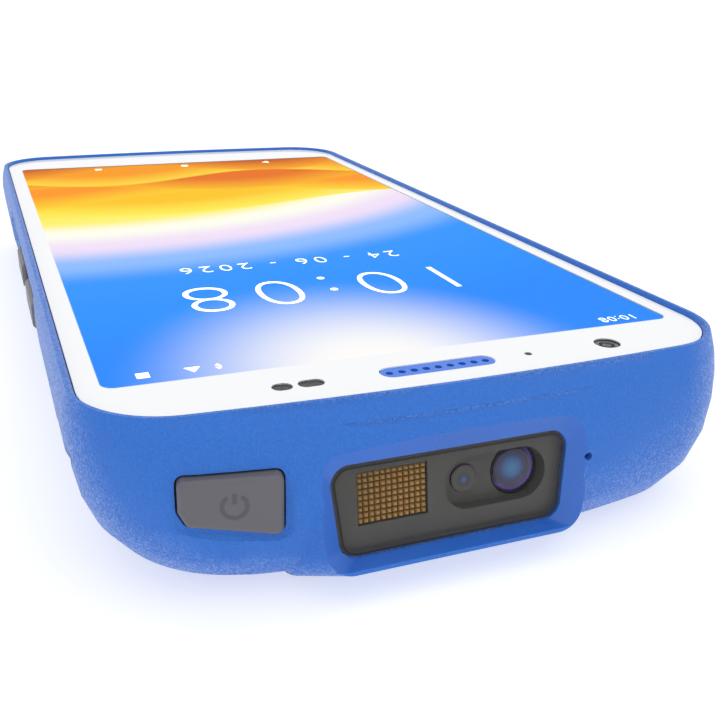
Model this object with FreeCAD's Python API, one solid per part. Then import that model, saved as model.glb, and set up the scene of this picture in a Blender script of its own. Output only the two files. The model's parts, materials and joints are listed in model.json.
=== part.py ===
import FreeCAD, Part
import math
import os
from FreeCAD import Placement, Rotation, Vector

# Portable barcode data terminal, in millimetres. X is the width, Y the length with the scanning
# end at -Y, and Z the thickness with the screen facing +Z. The origin is on the back, in the middle.

# Outer form of the housing
body_w = 73.6
body_l = 153.0
body_h = 18.6
wall = 1.6
shoulder_h = 4.2
flank_in = 9.0
bulge_z = 8.6
heel_in = 7.6
heel_corner = 2.0
end_corner = 13.7
end_bow_r = 122.0
end_swell = 2.3
lip_out = 0.5
bezel_h = 1.8
form_steps = 8
cavity_steps = 3
bezel_steps = 2

# Cover glass, rim and screen; margins are measured in from the housing or the glass
glass_side = 1.55
glass_near = 6.7
glass_far = 8.0
glass_t = 0.8
glass_drop = 0.5
glass_corner = 8.8
glass_bow_r = 384.0
rim_w = 0.85
rim_chamfer = 0.35
ledge_w = 1.4
gasket_t = 0.2
screen_side = 2.35
screen_near = 9.35
screen_far = 12.05
panel_border = 0.7
panel_corner = 2.0
panel_t = 1.6
midframe_t = 1.2
seal_t = 0.3

# Clearances
fit = 0.05
glue = 0.1
key_gap = 0.2
slide_gap = 0.3

# Scan window, its recess and the lip under it
window_x = -2.2
window_drop = 9.95
window_depth = 2.35
window_lean = 9.0
window_top_w = 25.2
window_bottom_w = 23.2
window_h = 8.8
window_t = 0.6
window_corner = 1.6
window_seat = 0.6
seat_t = 0.8
window_gap = 0.25
recess_rise = 2.4
recess_top = 6.3
recess_side = 3.4
recess_bottom = 1.1
recess_corner = 2.8
pad_w = 1.6
lip_low_w = 26.2
lip_high_w = 28.6
lip_low = 5.35
lip_high = 0.9
lip_lean = 4.0
lip_depth = 5.0
lip_spread = 4.0
lip_brow = 6.0
lip_corner = 2.6

# Scan engine behind the window
face_gap = 0.1
face_t = 1.8
engine_w = 24.0
engine_h = 8.4
engine_d = 10.0
array_w = 7.2
array_h = 5.2
array_x = -6.15
array_z = 0.8
array_t = 1.1
array_cols = 12
array_rows = 9
pocket_w = 11.3
pocket_h = 5.45
pocket_d = 1.4
pocket_x = 4.95
pocket_z = 0.5
imager_x = 7.85
imager_r = 2.4
barrel_t = 0.25
barrel_l = 6.0
barrel_drop = 0.3
lens_t = 1.4
aimer_x = 2.05
aimer_r = 1.4
aimer_t = 1.0
bracket_t = 0.6
bracket_l = 8.0
bracket_inset = 4.4

# Power button in the scanning end
power_x = -24.0
power_drop = 7.7
power_turn = 11.3
power_left = 4.7
power_right = 4.65
power_high = 3.0
power_low = 3.1
power_skew = 1.5
power_corner = 0.7
power_proud = 0.35
power_travel = 0.5
power_seat = 1.95
power_rim = 0.7
dish_w = 1.1
dish_d = 0.5
switch_w = 5.0
switch_h = 4.0
switch_d = 1.6
switch_back = 4.7
stiffener_w = 7.0
stiffener_t = 0.9

# Side keys
key_inset = 0.9
key_drop = 7.6
key_h = 3.9
key_proud = 0.8
key_travel = 0.5
key_corner = 1.5
key_bevel = 0.45
scan_key_y = -9.9
scan_key_l = 14.1
second_key_y = 9.5
second_key_l = 13.3
bank_l = 46.3
bank_h = 5.8
bank_t = 2.5
bank_y = 0.6
bank_corner = 2.0
bank_block = 1.1
rocker_reach = 4.2
rocker_neck = 3.0
plunger_w = 1.6
flange_t = 0.5
flange_w = 0.6
switch_t = 0.8
dome_w = 2.4
scoop_low = 2.0
scoop_deep = 3.0
scoop_near = 16.0
scoop_far = 4.0

# Boot pockets in the near corners
pocket_inset = 1.2
pocket_near = 14.0
pocket_far = 25.5
pocket_low = 7.0
pocket_high = 12.5

# Battery in the back
battery_side = 11.3
battery_drop = 9.3
battery_near = 70.5
battery_far = 15.5
battery_corner = 3.0
battery_chamfer = 0.5
battery_wall = 1.0
lid_t = 0.8
well_wall = 1.2
roof_t = 1.4
latch_l = 12.0
latch_w = 4.0
latch_h = 3.0
latch_from_near = 16.0
latch_travel = 1.0
latch_gap = 0.15
latch_ribs = 3
tongue_l = 6.0
tongue_t = 1.2
pad_n = 5
pad_pitch = 2.5
pad_size = 1.4
pad_l = 3.0
pad_t = 0.3
pad_from_near = 4.5
connector_w = 14.0
connector_l = 4.8
pin_r = 0.5
door_w = 20.0
door_l = 16.0
door_t = 0.7
door_ledge = 2.0
door_from_near = 22.0
holder_gap = 0.5

# Board, cans, ribbon and antennas
board_side = 6.8
board_near = 20.5
board_far = 16.5
board_t = 0.8
board_gap = 1.0
can_t = 0.3
can_h = 1.8
can_w = 24.0
can_l = 14.0
flex_w = 16.0
flex_t = 0.2
flex_in = 16.8
flex_from_near = 16.0
slot_w = 24.0
slot_l = 12.0
standoff_r = 1.5
standoff_in = 3.0
antenna_w = 48.0
antenna_l = 4.0
antenna_t = 0.3
antenna_far = 10.5

# Screws
screw_r = 0.8
screw_head_r = 1.6
screw_head_t = 0.8
screw_sink = 0.6
socket_r = 0.75
socket_d = 0.5
column_r = 3.0
front_screw_x = 20.0
front_screw_near = 19.0
well_screw_x = 20.0
well_screw_inset = 6.0

# Small parts
mic_r = 0.45
mic_x = 12.2
mic_z = 10.6
mic_depth = 5.2
far_mic_x = 10.0
receiver_w = 12.8
receiver_h = 2.5
receiver_near = 4.6
receiver_holes = 9
receiver_pitch = 1.36
hole_r = 0.38
speaker_body_w = 13.0
speaker_body_l = 5.0
module_t = 1.6
camera_x = 20.6
camera_w = 5.0
status_x = 10.6
status_w = 2.0
sensor_x = -15.1
sensor_w = 7.0
sensor_l = 3.0
rear_camera_x = 18.0
rear_camera_near = 31.5
rear_camera_w = 9.0
rear_camera_l = 17.0
rear_window_t = 0.8
rear_window_sink = 0.1
rear_lens_r = 2.4
rear_lens_y = -3.6
rear_body_w = 8.0
rear_body_t = 4.5
flash_r = 1.5
flash_y = 4.4
flash_body_w = 4.0
flash_body_t = 1.2
speaker_x = -16.0
speaker_near = 32.5
speaker_w = 16.0
speaker_l = 11.0
speaker_t = 3.6
speaker_slots = 5
slot_pitch = 1.9
slot_run = 9.0
slot_gap = 0.9
mesh_t = 0.2
cone_wall = 1.4
cone_d = 0.6
contact_n = 8
contact_pitch = 2.6
contact_w = 1.5
contact_l = 4.0
contact_far = 10.0
contact_sink = 0.15
carrier_t = 1.0
motor_r = 4.0
motor_t = 2.7
motor_x = 24.0
motor_near = 50.0

# Heights and lengths worked out from the sizes above
window_z = body_h - window_drop
power_z = body_h - power_drop
key_z = body_h - key_drop
battery_h = body_h - battery_drop
battery_w = body_w - 2 * battery_side
board_w = body_w - 2 * board_side
standoff_x = board_w / 2 - standoff_in
flex_x = body_w / 2 - flex_in
belt_half = body_w / 2
belt_z = body_h - shoulder_h
belt_near = -body_l / 2 + lip_out
belt_far = body_l / 2
seam_z = body_h - bezel_h
glass_half = body_w / 2 - glass_side
glass_y0 = -body_l / 2 + glass_near
glass_y1 = body_l / 2 - glass_far
rim_half = glass_half + rim_w
rim_near = glass_y0 - rim_w
rim_far = glass_y1 + rim_w
rim_corner = glass_corner + rim_w
glass_top = body_h - glass_drop
glass_low = glass_top - glass_t
ledge_z = glass_low - gasket_t
panel_top = glass_low - glue
panel_low = panel_top - panel_t
midframe_low = panel_low - midframe_t
board_top = midframe_low - board_gap
board_low = board_top - board_t
board_y0 = -body_l / 2 + board_near
board_y1 = body_l / 2 - board_far
roof_low = battery_h + slide_gap
roof_top = roof_low + roof_t
battery_y0 = -body_l / 2 + battery_near
battery_y1 = body_l / 2 - battery_far
battery_y = (battery_y0 + battery_y1) / 2
battery_l = battery_y1 - battery_y0
latch_y = battery_y0 + latch_from_near
pad_y = battery_y0 + pad_from_near
door_y = battery_y0 + door_from_near
key_face_x = belt_half - key_inset
receiver_y = glass_y0 + receiver_near
speaker_y = -body_l / 2 + speaker_near
rear_camera_y = -body_l / 2 + rear_camera_near
contact_y = body_l / 2 - contact_far
window_y = -body_l / 2 + window_depth
face_front = -window_t - face_gap
face_back = face_front - face_t
window_pocket = -face_back + fit
engine_front = -window_pocket - seat_t - fit


def mix(a, b, t):
    return a + (b - a) * t


def box(x0, x1, y0, y1, z0, z1):
    return Part.makeBox(x1 - x0, y1 - y0, z1 - z0, Vector(x0, y0, z0))


def plate(w, length, z0, z1, x=0.0, y=0.0):
    """Square-cornered plate about a point."""
    return box(x - w / 2, x + w / 2, y - length / 2, y + length / 2, z0, z1)


def rod(r, x, y, z0, z1):
    return Part.makeCylinder(r, z1 - z0, Vector(x, y, z0))


def polygon_rod(sides, r, x, y, z0, z1):
    """Upright prism whose corners lie on the radius r."""
    turns = [2 * math.pi * i / sides for i in range(sides + 1)]
    points = [Vector(x + r * math.cos(t), y + r * math.sin(t), z0) for t in turns]
    return Part.Face(Part.makePolygon(points)).extrude(Vector(0, 0, z1 - z0))


def polygon_hole(sides, r, x, y, z0, z1):
    """Upright prism whose sides clear the radius r."""
    return polygon_rod(sides, r / math.cos(math.pi / sides), x, y, z0, z1)


def fuse(shapes):
    first, rest = shapes[0], shapes[1:]
    return first.fuse(rest).removeSplitter() if rest else first


def arc(a, b, c):
    return Part.Arc(a, b, c).toShape()


def plan(half, near, far, corner, bow_r, z):
    """Plan outline at height z: straight sides, bowed ends and tangent corner arcs."""
    x = half - corner
    reach = bow_r - math.sqrt((bow_r - corner) ** 2 - x ** 2)
    tangent = math.asin(x / (bow_r - corner))
    middle = (tangent + math.pi / 2) / 2
    dip = bow_r - bow_r * math.cos(tangent)

    def end(tip, sign):
        out_x = bow_r * math.sin(tangent)
        centre_y = tip + sign * reach
        on_end = Vector(out_x, tip + sign * dip, z)
        on_arc = Vector(x + corner * math.sin(middle), centre_y - sign * corner * math.cos(middle), z)
        on_side = Vector(half, centre_y, z)
        return on_end, on_arc, on_side

    def flip(p):
        return Vector(-p.x, p.y, p.z)

    n_end, n_arc, n_side = end(near, 1)
    f_end, f_arc, f_side = end(far, -1)
    edges = [arc(flip(n_end), Vector(0, near, z), n_end),
             arc(n_end, n_arc, n_side),
             Part.makeLine(n_side, f_side),
             arc(f_side, f_arc, f_end),
             arc(f_end, Vector(0, far, z), flip(f_end)),
             arc(flip(f_end), flip(f_arc), flip(f_side)),
             Part.makeLine(flip(f_side), flip(n_side)),
             arc(flip(n_side), flip(n_arc), flip(n_end))]
    return Part.Wire(edges)


def tuck(z, top):
    """Share drawn in at height z under an elliptical curve that starts at the height top."""
    t = (top - z) / top
    return 1 - math.sqrt(1 - t * t) if t > 0 else 0.0


def swell(z):
    """Share of the way from the bulge of an end to its rim."""
    return ((z - bulge_z) / (body_h - bulge_z)) ** end_swell if z > bulge_z else 0.0


def bow(z):
    return 1 / mix(1 / end_bow_r, 1 / glass_bow_r, swell(z))


def half_width(z):
    """Half of the body's width at height z: fullest at the belt, drawn in above and below."""
    if z >= belt_z:
        return mix(belt_half, rim_half, ((z - belt_z) / (body_h - belt_z)) ** 2)
    return belt_half - flank_in * tuck(z, belt_z)


def near_end(z):
    return mix(belt_near, rim_near, swell(z)) + heel_in * tuck(z, bulge_z)


def far_end(z):
    return mix(belt_far, rim_far, swell(z)) - heel_in * tuck(z, bulge_z)


def level(z, inset=0.0):
    """Plan outline of the outer form at height z, moved inwards by inset."""
    corner = mix(end_corner, rim_corner, swell(z)) - heel_corner * tuck(z, bulge_z)
    return plan(half_width(z) - inset, near_end(z) + inset, far_end(z) - inset, corner - inset,
                bow(z) - inset, z)


def form(z0, z1, inset, steps):
    """Outer form between two heights, its levels closest together at the top and bottom."""
    shares = [(1 - math.cos(math.pi * i / steps)) / 2 for i in range(steps + 1)]
    return Part.makeLoft([level(mix(z0, z1, t), inset) for t in shares], True, True)


def glass_outline(z, grow=0.0):
    return plan(glass_half + grow, glass_y0 - grow, glass_y1 + grow, glass_corner + grow,
                glass_bow_r + grow, z)


def prism(wire, z0, z1):
    """Upright solid of a flat outline drawn at z0."""
    return Part.Face(wire).extrude(Vector(0, 0, z1 - z0))


def rounded(points, r, z=0.0):
    """Closed outline through flat corner points, each rounded by the radius r."""
    n = len(points)
    edges = []
    corners = []
    for i in range(n):
        p = Vector(points[i][0], points[i][1], z)
        a = Vector(points[i - 1][0], points[i - 1][1], z) - p
        b = Vector(points[(i + 1) % n][0], points[(i + 1) % n][1], z) - p
        a.normalize()
        b.normalize()
        half_angle = a.getAngle(b) / 2
        reach = r / math.tan(half_angle)
        bisector = a + b
        bisector.normalize()
        centre = p + bisector * (r / math.sin(half_angle))
        corners.append((p + a * reach, centre - bisector * r, p + b * reach))
    for i in range(n):
        before = corners[i - 1][2]
        first, middle, last = corners[i]
        if (first - before).Length > 1e-6:
            edges.append(Part.makeLine(before, first))
        edges.append(arc(first, middle, last))
    return Part.Wire(edges)


def slab(w, h, r, z0, z1, x=0.0, y=0.0):
    """Rectangular plate of w by h with rounded upright corners."""
    r = min(r, w / 2 - 0.01, h / 2 - 0.01)
    corners = [(x - w / 2, y - h / 2), (x + w / 2, y - h / 2), (x + w / 2, y + h / 2),
               (x - w / 2, y + h / 2)]
    return prism(rounded(corners, r, z0), z0, z1)


def on_wall(shape, x, y, z, turn=0.0, lean=0.0):
    """Moves a piece drawn flat, facing +Z, so that it faces out of a wall at a point."""
    about_z = Rotation(Vector(0, 0, 1), turn)
    about_x = Rotation(Vector(1, 0, 0), 90 - lean)
    moved = shape.copy()
    moved.Placement = Placement(Vector(x, y, z), about_z * about_x)
    return moved


def at_window(shape):
    return on_wall(shape, window_x, window_y, window_z, 0.0, window_lean)


def near_surface(x, z):
    """Y of the scanning end's surface at width x and height z."""
    return near_end(z) + bow(z) - math.sqrt(bow(z) ** 2 - x ** 2)


def at_power(shape):
    return on_wall(shape, power_x, near_surface(power_x, power_z), power_z, -power_turn)


def at_keys(shape, side):
    return on_wall(shape, side * key_face_x, 0.0, key_z, 90.0 * side)


def window_wire(z, grow=0.0, top=0.0, side=0.0, bottom=0.0, r=window_corner):
    """Tapered outline of the scan window, wider at its top edge."""
    upper = window_top_w / 2 + grow + side
    lower = window_bottom_w / 2 + grow + side
    high = window_h / 2 + grow + top
    low = -window_h / 2 - grow - bottom
    return rounded([(-lower, low), (lower, low), (upper, high), (-upper, high)], r + grow, z)


def power_wire(z, grow=0.0):
    """Outline of the power button, its lower edge rising away from the window."""
    left = power_left + grow
    right = power_right + grow
    high = power_high + grow
    low = power_low + grow
    points = [(-left, high), (-left, -low + 2 * power_skew), (-left + power_skew / 2, -low + power_skew),
              (right, -low), (right, high)]
    return rounded(points, power_corner + grow, z)


def screw_places():
    """Six screws: two behind the scanning end and four in the roof of the battery well."""
    low = [(side * front_screw_x, -body_l / 2 + front_screw_near, 0.0) for side in (-1, 1)]
    ends = (battery_y0 + well_screw_inset, battery_y1 - well_screw_inset)
    high = [(side * well_screw_x, y, roof_low) for side in (-1, 1) for y in ends]
    return low + high


def window_lip():
    """Raised lip that carries the lower half of the window's recess out of the heel."""
    low = -lip_low
    front = [(-lip_low_w / 2, low), (lip_low_w / 2, low), (lip_high_w / 2, lip_high),
             (-lip_high_w / 2, lip_high)]
    base = [(-lip_low_w / 2 - lip_spread, low - lip_spread / 2),
            (lip_low_w / 2 + lip_spread, low - lip_spread / 2),
            (lip_high_w / 2 + lip_spread / 2, lip_high + lip_brow),
            (-lip_high_w / 2 - lip_spread / 2, lip_high + lip_brow)]
    solid = Part.makeLoft([rounded(base, lip_corner, -lip_depth), rounded(front, lip_corner, 0.0)],
                          True, True)
    y = -body_l / 2 - math.sin(math.radians(lip_lean)) * low
    return on_wall(solid, window_x, y, window_z, 0.0, lip_lean)


def window_cuts():
    """Recess with slanted walls, pocket for window and face, and the aperture behind them."""
    outer = window_wire(recess_rise, 0.0, recess_top, recess_side, recess_bottom, recess_corner)
    flared = Part.makeLoft([window_wire(0.0, window_gap), outer], True, True)
    beyond = prism(outer, recess_rise, recess_rise + lip_depth)
    pocket = prism(window_wire(-window_pocket, window_gap), -window_pocket, 0.0)
    depth = window_pocket + engine_d
    aperture = prism(window_wire(-depth, -window_seat), -depth, 0.0)
    return [at_window(s) for s in (flared, beyond, pocket, aperture)]


def power_cuts():
    """Shallow dish round the power button, its hole and the seat of its flange."""
    dish = Part.makeLoft([power_wire(-dish_d, dish_w / 2), power_wire(dish_d, dish_w * 1.5)], True, True)
    deep = switch_back + 1.0
    hole = prism(power_wire(-deep, key_gap), -deep, 1.0)
    seat = prism(power_wire(-switch_back, flange_w + key_gap), -switch_back, -power_seat)
    return [at_power(dish), at_power(hole), at_power(seat)]


def scoop(side):
    """Shallow waist in a side wall, where the fingers find the keys."""
    near = bank_y - bank_l / 2 - scoop_low
    far = bank_y + bank_l / 2 + scoop_low
    lean = (half_width(seam_z) - key_face_x) / (seam_z - key_z)
    wires = []
    for z in (scoop_low, seam_z + 1.0):
        x = key_face_x + (z - key_z) * lean
        points = [(x, near), (x, far), (x + scoop_deep, far + scoop_far), (x + scoop_deep, near - scoop_near)]
        corners = [Vector(side * px, py, z) for px, py in points]
        wires.append(Part.makePolygon(corners + corners[:1]))
    return Part.makeLoft(wires, True, True)


def snap_pocket(side):
    """Smooth pocket in a near corner, where a protective boot snaps on."""
    inner = side * (belt_half - pocket_inset)
    outer = side * (belt_half + 1.0)
    return box(*sorted((inner, outer)), -body_l / 2 + pocket_near, -body_l / 2 + pocket_far,
               pocket_low, pocket_high)


def bank_slot(side):
    depth = bank_t + bank_block + flange_t + switch_t + fit
    return at_keys(slab(bank_l + 2 * fit, bank_h + 2 * fit, bank_corner, -depth, 1.0, side * bank_y), side)


def bank_pad(side):
    """Thickening of the side wall that holds a key frame."""
    depth = bank_t + bank_block + flange_t
    return at_keys(plate(bank_l + 2 * well_wall, bank_h + wall / 2, -depth, slide_gap, side * bank_y), side)


def well(grow=0.0, z0=-1.0, z1=roof_low):
    w = battery_w + 2 * (slide_gap + grow)
    length = battery_l + 2 * (slide_gap + grow)
    return slab(w, length, battery_corner + grow, z0, z1, 0.0, battery_y)


def contact_places():
    return [(i - (contact_n - 1) / 2) * contact_pitch for i in range(contact_n)]


def housing_shell():
    """Outer skin of the tub with the window's lip, hollowed to the wall's thickness."""
    outer = form(0.0, seam_z, 0.0, form_steps).fuse(window_lip())
    cavity = form(wall, seam_z + fit, wall, cavity_steps)
    return outer, outer.cut(cavity)


def housing_pads(outer):
    """Inner walls: window pad, button pad and stiffener, battery tub, screw columns and key pads."""
    behind = window_pocket + seat_t
    window_pad = at_window(prism(window_wire(-behind, pad_w), -behind, pad_w))
    power_pad = at_power(prism(power_wire(-power_seat, pad_w), -power_seat, power_rim))
    drop = power_z - wall + fit
    post = Part.makeBox(stiffener_w, drop + switch_h / 2, stiffener_t,
                        Vector(-stiffener_w / 2, -drop, -switch_back - stiffener_t))
    tub = well(well_wall, 0.0, roof_top)
    columns = [polygon_rod(6, column_r, x, y, max(z, wall / 2), midframe_low) for x, y, z in screw_places()]
    pads = [window_pad, power_pad, at_power(post), tub] + columns + [bank_pad(s) for s in (-1, 1)]
    return [p.common(outer) for p in pads]


def screw_cuts():
    cuts = []
    for x, y, z in screw_places():
        sink = screw_sink if z == 0.0 else 0.0
        cuts.append(polygon_hole(8, screw_r + fit, x, y, -1.0, midframe_low + 1.0))
        cuts.append(polygon_hole(8, screw_head_r + glue, x, y, -1.0, z + screw_head_t + sink))
    return cuts


def sound_cuts():
    """Microphone holes in both ends, loudspeaker slots and the ledge of its mesh."""
    deep = wall + 1.0
    near_mic = on_wall(polygon_rod(8, mic_r, 0, 0, -mic_depth, 1.0), mic_x, near_surface(mic_x, mic_z), mic_z)
    far_mic = on_wall(polygon_rod(8, mic_r, 0, 0, -mic_depth, 1.0), far_mic_x, far_end(mic_z), mic_z, 180.0)
    cuts = [near_mic, far_mic]
    for i in range(speaker_slots):
        y = speaker_y + (i - (speaker_slots - 1) / 2) * slot_pitch
        cuts.append(plate(slot_run, slot_gap, -1.0, deep, speaker_x, y))
    cuts.append(plate(speaker_w, speaker_l, wall / 2, wall + fit, speaker_x, speaker_y))
    return cuts


def camera_cuts():
    """Seat of the rear camera's window with the openings for its lens and its flash."""
    sink = rear_window_sink + rear_window_t
    seat = slab(rear_camera_w, rear_camera_l, 2.5, -1.0, sink, rear_camera_x, rear_camera_y)
    lens = polygon_hole(16, rear_lens_r + fit, rear_camera_x, rear_camera_y + rear_lens_y, 0.0, wall + 1.0)
    flash = polygon_hole(12, flash_r + fit, rear_camera_x, rear_camera_y + flash_y, 0.0, wall + 1.0)
    return [seat, lens, flash]


def roof_cuts():
    """Openings in the roof of the battery well: connector, card door and card holder."""
    connector = plate(connector_w + 2 * fit, connector_l + 2 * fit, roof_low - 1.0, roof_top + 1.0, 0.0, pad_y)
    door = plate(door_w + 2 * fit, door_l + 2 * fit, roof_low - 1.0, roof_low + door_t, 0.0, door_y)
    holder = plate(door_w - 2 * door_ledge, door_l - 2 * door_ledge, roof_low, roof_top + 1.0, 0.0, door_y)
    return [connector, door, holder]


def rear_housing():
    """Moulded tub: sides, ends and back, with the battery well, window recess, button dish and key pads."""
    outer, shell = housing_shell()
    solid = fuse([shell] + housing_pads(outer))
    cuts = window_cuts() + power_cuts() + screw_cuts() + sound_cuts() + camera_cuts() + roof_cuts()
    cuts.append(well())
    for side in (-1, 1):
        cuts += [scoop(side), snap_pocket(side), bank_slot(side)]
    for x in contact_places():
        cuts.append(plate(contact_w, contact_l, -1.0, wall + 1.0, x, contact_y))
    return solid.cut(cuts)


def housing_seal():
    """Flat perimeter seal between the midframe and the bezel's skirt."""
    outer = prism(level(panel_low, wall + 2 * slide_gap), panel_low, panel_low + seal_t)
    inner = prism(glass_outline(panel_low, -ledge_w), panel_low, panel_low + seal_t)
    return outer.cut(inner)


def front_bezel():
    """Smooth rim round the glass, with a skirt that drops inside the housing."""
    rim = form(seam_z, body_h, 0.0, bezel_steps)
    skirt = prism(level(seam_z, wall + slide_gap), seam_z, panel_low + seal_t)
    solid = fuse([rim, skirt])
    pocket = prism(glass_outline(ledge_z, glue), ledge_z, body_h + 1)
    flare = Part.makeLoft([glass_outline(glass_top, glue), glass_outline(body_h, glue + rim_chamfer)],
                          True, True)
    opening = prism(glass_outline(0.0, -ledge_w), 0.0, body_h)
    return solid.cut([pocket, flare, opening])


def cover_glass():
    slot = slab(receiver_w + 2 * fit, receiver_h + 2 * fit, receiver_h / 2, glass_low - 1, body_h, 0.0,
                receiver_y)
    return prism(glass_outline(glass_low), glass_low, glass_top).cut(slot)


def glass_gasket():
    outer = prism(glass_outline(ledge_z, -glue), ledge_z, glass_low)
    inner = prism(glass_outline(ledge_z, -ledge_w), ledge_z, glass_low)
    return outer.cut(inner)


def display_panel():
    """Screen module, bonded just under the glass."""
    half = glass_half - screen_side + panel_border
    y0 = glass_y0 + screen_near - panel_border
    y1 = glass_y1 - screen_far + panel_border
    return slab(2 * half, y1 - y0, panel_corner, panel_low, panel_top, 0.0, (y0 + y1) / 2)


def midframe():
    """Cast plate that stiffens the terminal; the screen lies on it and the board hangs below it."""
    base = prism(level(panel_low, wall + slide_gap), panel_low, midframe_low)
    thirds = [mix(board_y0, board_y1, t) for t in (0.08, 0.5, 0.92)]
    posts = [polygon_rod(6, standoff_r, side * standoff_x, y, board_top, midframe_low)
             for side in (-1, 1) for y in thirds]
    cuts = [polygon_hole(8, screw_r + fit, x, y, 0.0, panel_low) for x, y, z in screw_places()]
    cuts.append(plate(slot_w, slot_l, 0.0, body_h, flex_x, board_y0 + flex_from_near))
    cuts.append(box(-belt_half, belt_half, -body_l / 2, window_y + bracket_inset, 0.0, body_h))
    return fuse([base] + posts).cut(cuts)


def main_board():
    board = box(-board_w / 2, board_w / 2, board_y0, board_y1, board_low, board_top)
    cuts = [polygon_hole(6, column_r + slide_gap, x, y, 0.0, body_h) for x, y, z in screw_places()]
    return board.cut(cuts)


def shield_cans():
    """Stamped cans soldered under the board, each a shallow open tray."""
    cans = []
    for i in range(2):
        x = (i - 0.5) * can_l
        y = board_y0 + (i + 1) * (can_l + 4 * slide_gap) + slide_gap
        tray = plate(can_w, can_l, board_low - can_h, board_low, x, y)
        hollow = plate(can_w - 2 * can_t, can_l - 2 * can_t, board_low - can_h + can_t, board_low, x, y)
        cans.append(tray.cut(hollow))
    return Part.makeCompound(cans)


def display_flex():
    """Ribbon from the panel through the midframe's slot to the board."""
    return plate(flex_w, flex_t, board_top, panel_low, flex_x, board_y0 + flex_from_near)


def exit_window():
    return at_window(prism(window_wire(-window_t), -window_t, 0.0))


def engine_face():
    """Dark panel behind the window, with an opening for the lens array and a stadium pocket."""
    through = face_back - 1
    face = prism(window_wire(face_back, window_gap - fit), face_back, face_front)
    slot = plate(array_w + 2 * fit, array_h + 2 * fit, through, 0.0, array_x, array_z)
    pocket = slab(pocket_w, pocket_h, pocket_h / 2, face_front - pocket_d, 0.0, pocket_x, pocket_z)
    imager = polygon_hole(16, imager_r + barrel_t + fit, imager_x, pocket_z, through, 0.0)
    aimer = polygon_hole(12, aimer_r + fit, aimer_x, pocket_z, through, 0.0)
    return at_window(face.cut([slot, pocket, imager, aimer]))


def engine_chassis():
    """Cast block of the scan engine, bored for the imaging lens barrel."""
    back = engine_front - engine_d
    block = plate(engine_w, engine_h, back, engine_front)
    bore = polygon_hole(16, imager_r + barrel_t + fit, imager_x, pocket_z, engine_front - barrel_l, 0.0)
    return at_window(block.cut(bore))


def imager_barrel():
    front = face_front - barrel_drop
    tube = rod(imager_r + barrel_t, imager_x, pocket_z, engine_front - barrel_l, front)
    bore = rod(imager_r, imager_x, pocket_z, front - lens_t, front + 1)
    return at_window(tube.cut(bore))


def imager_lens():
    """Domed front lens of the imager, seated in its barrel."""
    low = face_front - barrel_drop - lens_t
    r = imager_r - fit
    edge = rod(r, imager_x, pocket_z, low, low + lens_t * 0.6)
    dome = Part.makeCone(r, r * 0.5, lens_t * 0.3, Vector(imager_x, pocket_z, low + lens_t * 0.6))
    return at_window(edge.fuse(dome))


def aimer_lens():
    """Aiming lens at the bottom of the pocket, its body reaching back to the chassis."""
    front = face_front - pocket_d + 0.2
    return at_window(rod(aimer_r, aimer_x, pocket_z, engine_front, front))


def illumination_lens_array():
    """Plate of small pyramid lenses, in rows and columns, that spreads the light."""
    front = face_front + fit
    solid = plate(array_w, array_h, engine_front, front, array_x, array_z)
    pitch_x = array_w / array_cols
    pitch_z = array_h / array_rows
    grooves = []
    for i in range(array_cols + 1):
        x = array_x - array_w / 2 + i * pitch_x
        grooves.append(groove(x, array_z, array_h, pitch_x, front, True))
    for j in range(array_rows + 1):
        z = array_z - array_h / 2 + j * pitch_z
        grooves.append(groove(array_x, z, array_w, pitch_z, front, False))
    return at_window(solid.cut(grooves))


def groove(x, y, length, pitch, top, upright):
    """V-shaped groove between two rows of lenses."""
    half = pitch / 2
    run = length / 2 + half
    if upright:
        ends = [(x - half, y - run), (x + half, y - run), (x, y - run)]
        shift = Vector(0, 2 * run, 0)
    else:
        ends = [(x - run, y - half), (x - run, y + half), (x - run, y)]
        shift = Vector(2 * run, 0, 0)
    corners = [Vector(*ends[0], top), Vector(*ends[1], top), Vector(*ends[2], top - half)]
    return Part.Face(Part.makePolygon(corners + corners[:1])).extrude(shift)


def engine_bracket():
    """Sheet bracket that carries the scan engine on the floor of the housing."""
    half = engine_w / 2 + fit
    y0 = window_y + bracket_inset
    y1 = y0 + bracket_l
    base = box(window_x - half - bracket_t, window_x + half + bracket_t, y0, y1, wall, wall + bracket_t)
    ribs = [box(window_x - half, window_x + half, y, y + bracket_t, wall, window_z)
            for y in (y0, y1 - bracket_t)]
    sides = [box(*sorted((window_x + s * half, window_x + s * (half + bracket_t))), y0, y1, wall,
                 window_z + bracket_t) for s in (-1, 1)]
    engine = at_window(plate(engine_w, engine_h, engine_front - engine_d - bracket_l, 0.0))
    return fuse([base] + ribs + sides).cut(engine)


def power_button():
    """Tapered key with bevelled edges and a flange that keeps it in the housing."""
    back = -power_seat - fit
    cap = prism(power_wire(back), back, power_proud)
    top = [e for e in cap.Edges if e.BoundBox.ZMin > power_proud - fit]
    cap = cap.makeChamfer(power_proud, top)
    flange = prism(power_wire(back - flange_t, flange_w), back - flange_t, back)
    return at_power(fuse([cap, flange]))


def power_switch():
    """Dome switch on its stiffener, one travel behind the button."""
    tip = -power_seat - fit - flange_t - power_travel - glue
    body = plate(switch_w, switch_h, -switch_back, -switch_back + switch_d - slide_gap)
    dome = polygon_rod(12, dome_w / 2, 0.0, 0.0, -switch_back + switch_d - slide_gap, tip)
    return at_power(fuse([body, dome]))


def key_frame(side):
    """Grey surround of a row of side keys, with a window for each key."""
    solid = slab(bank_l, bank_h, bank_corner, -bank_t, -glue, side * bank_y)
    for y, length, gap in ((scan_key_y, scan_key_l, key_gap), (second_key_y, second_key_l, key_gap + glue)):
        opening = slab(length + 2 * gap, key_h + 2 * key_gap, key_corner + key_gap, -bank_t - 1, 1.0, side * y)
        solid = solid.cut(opening)
    return at_keys(solid, side)


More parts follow.
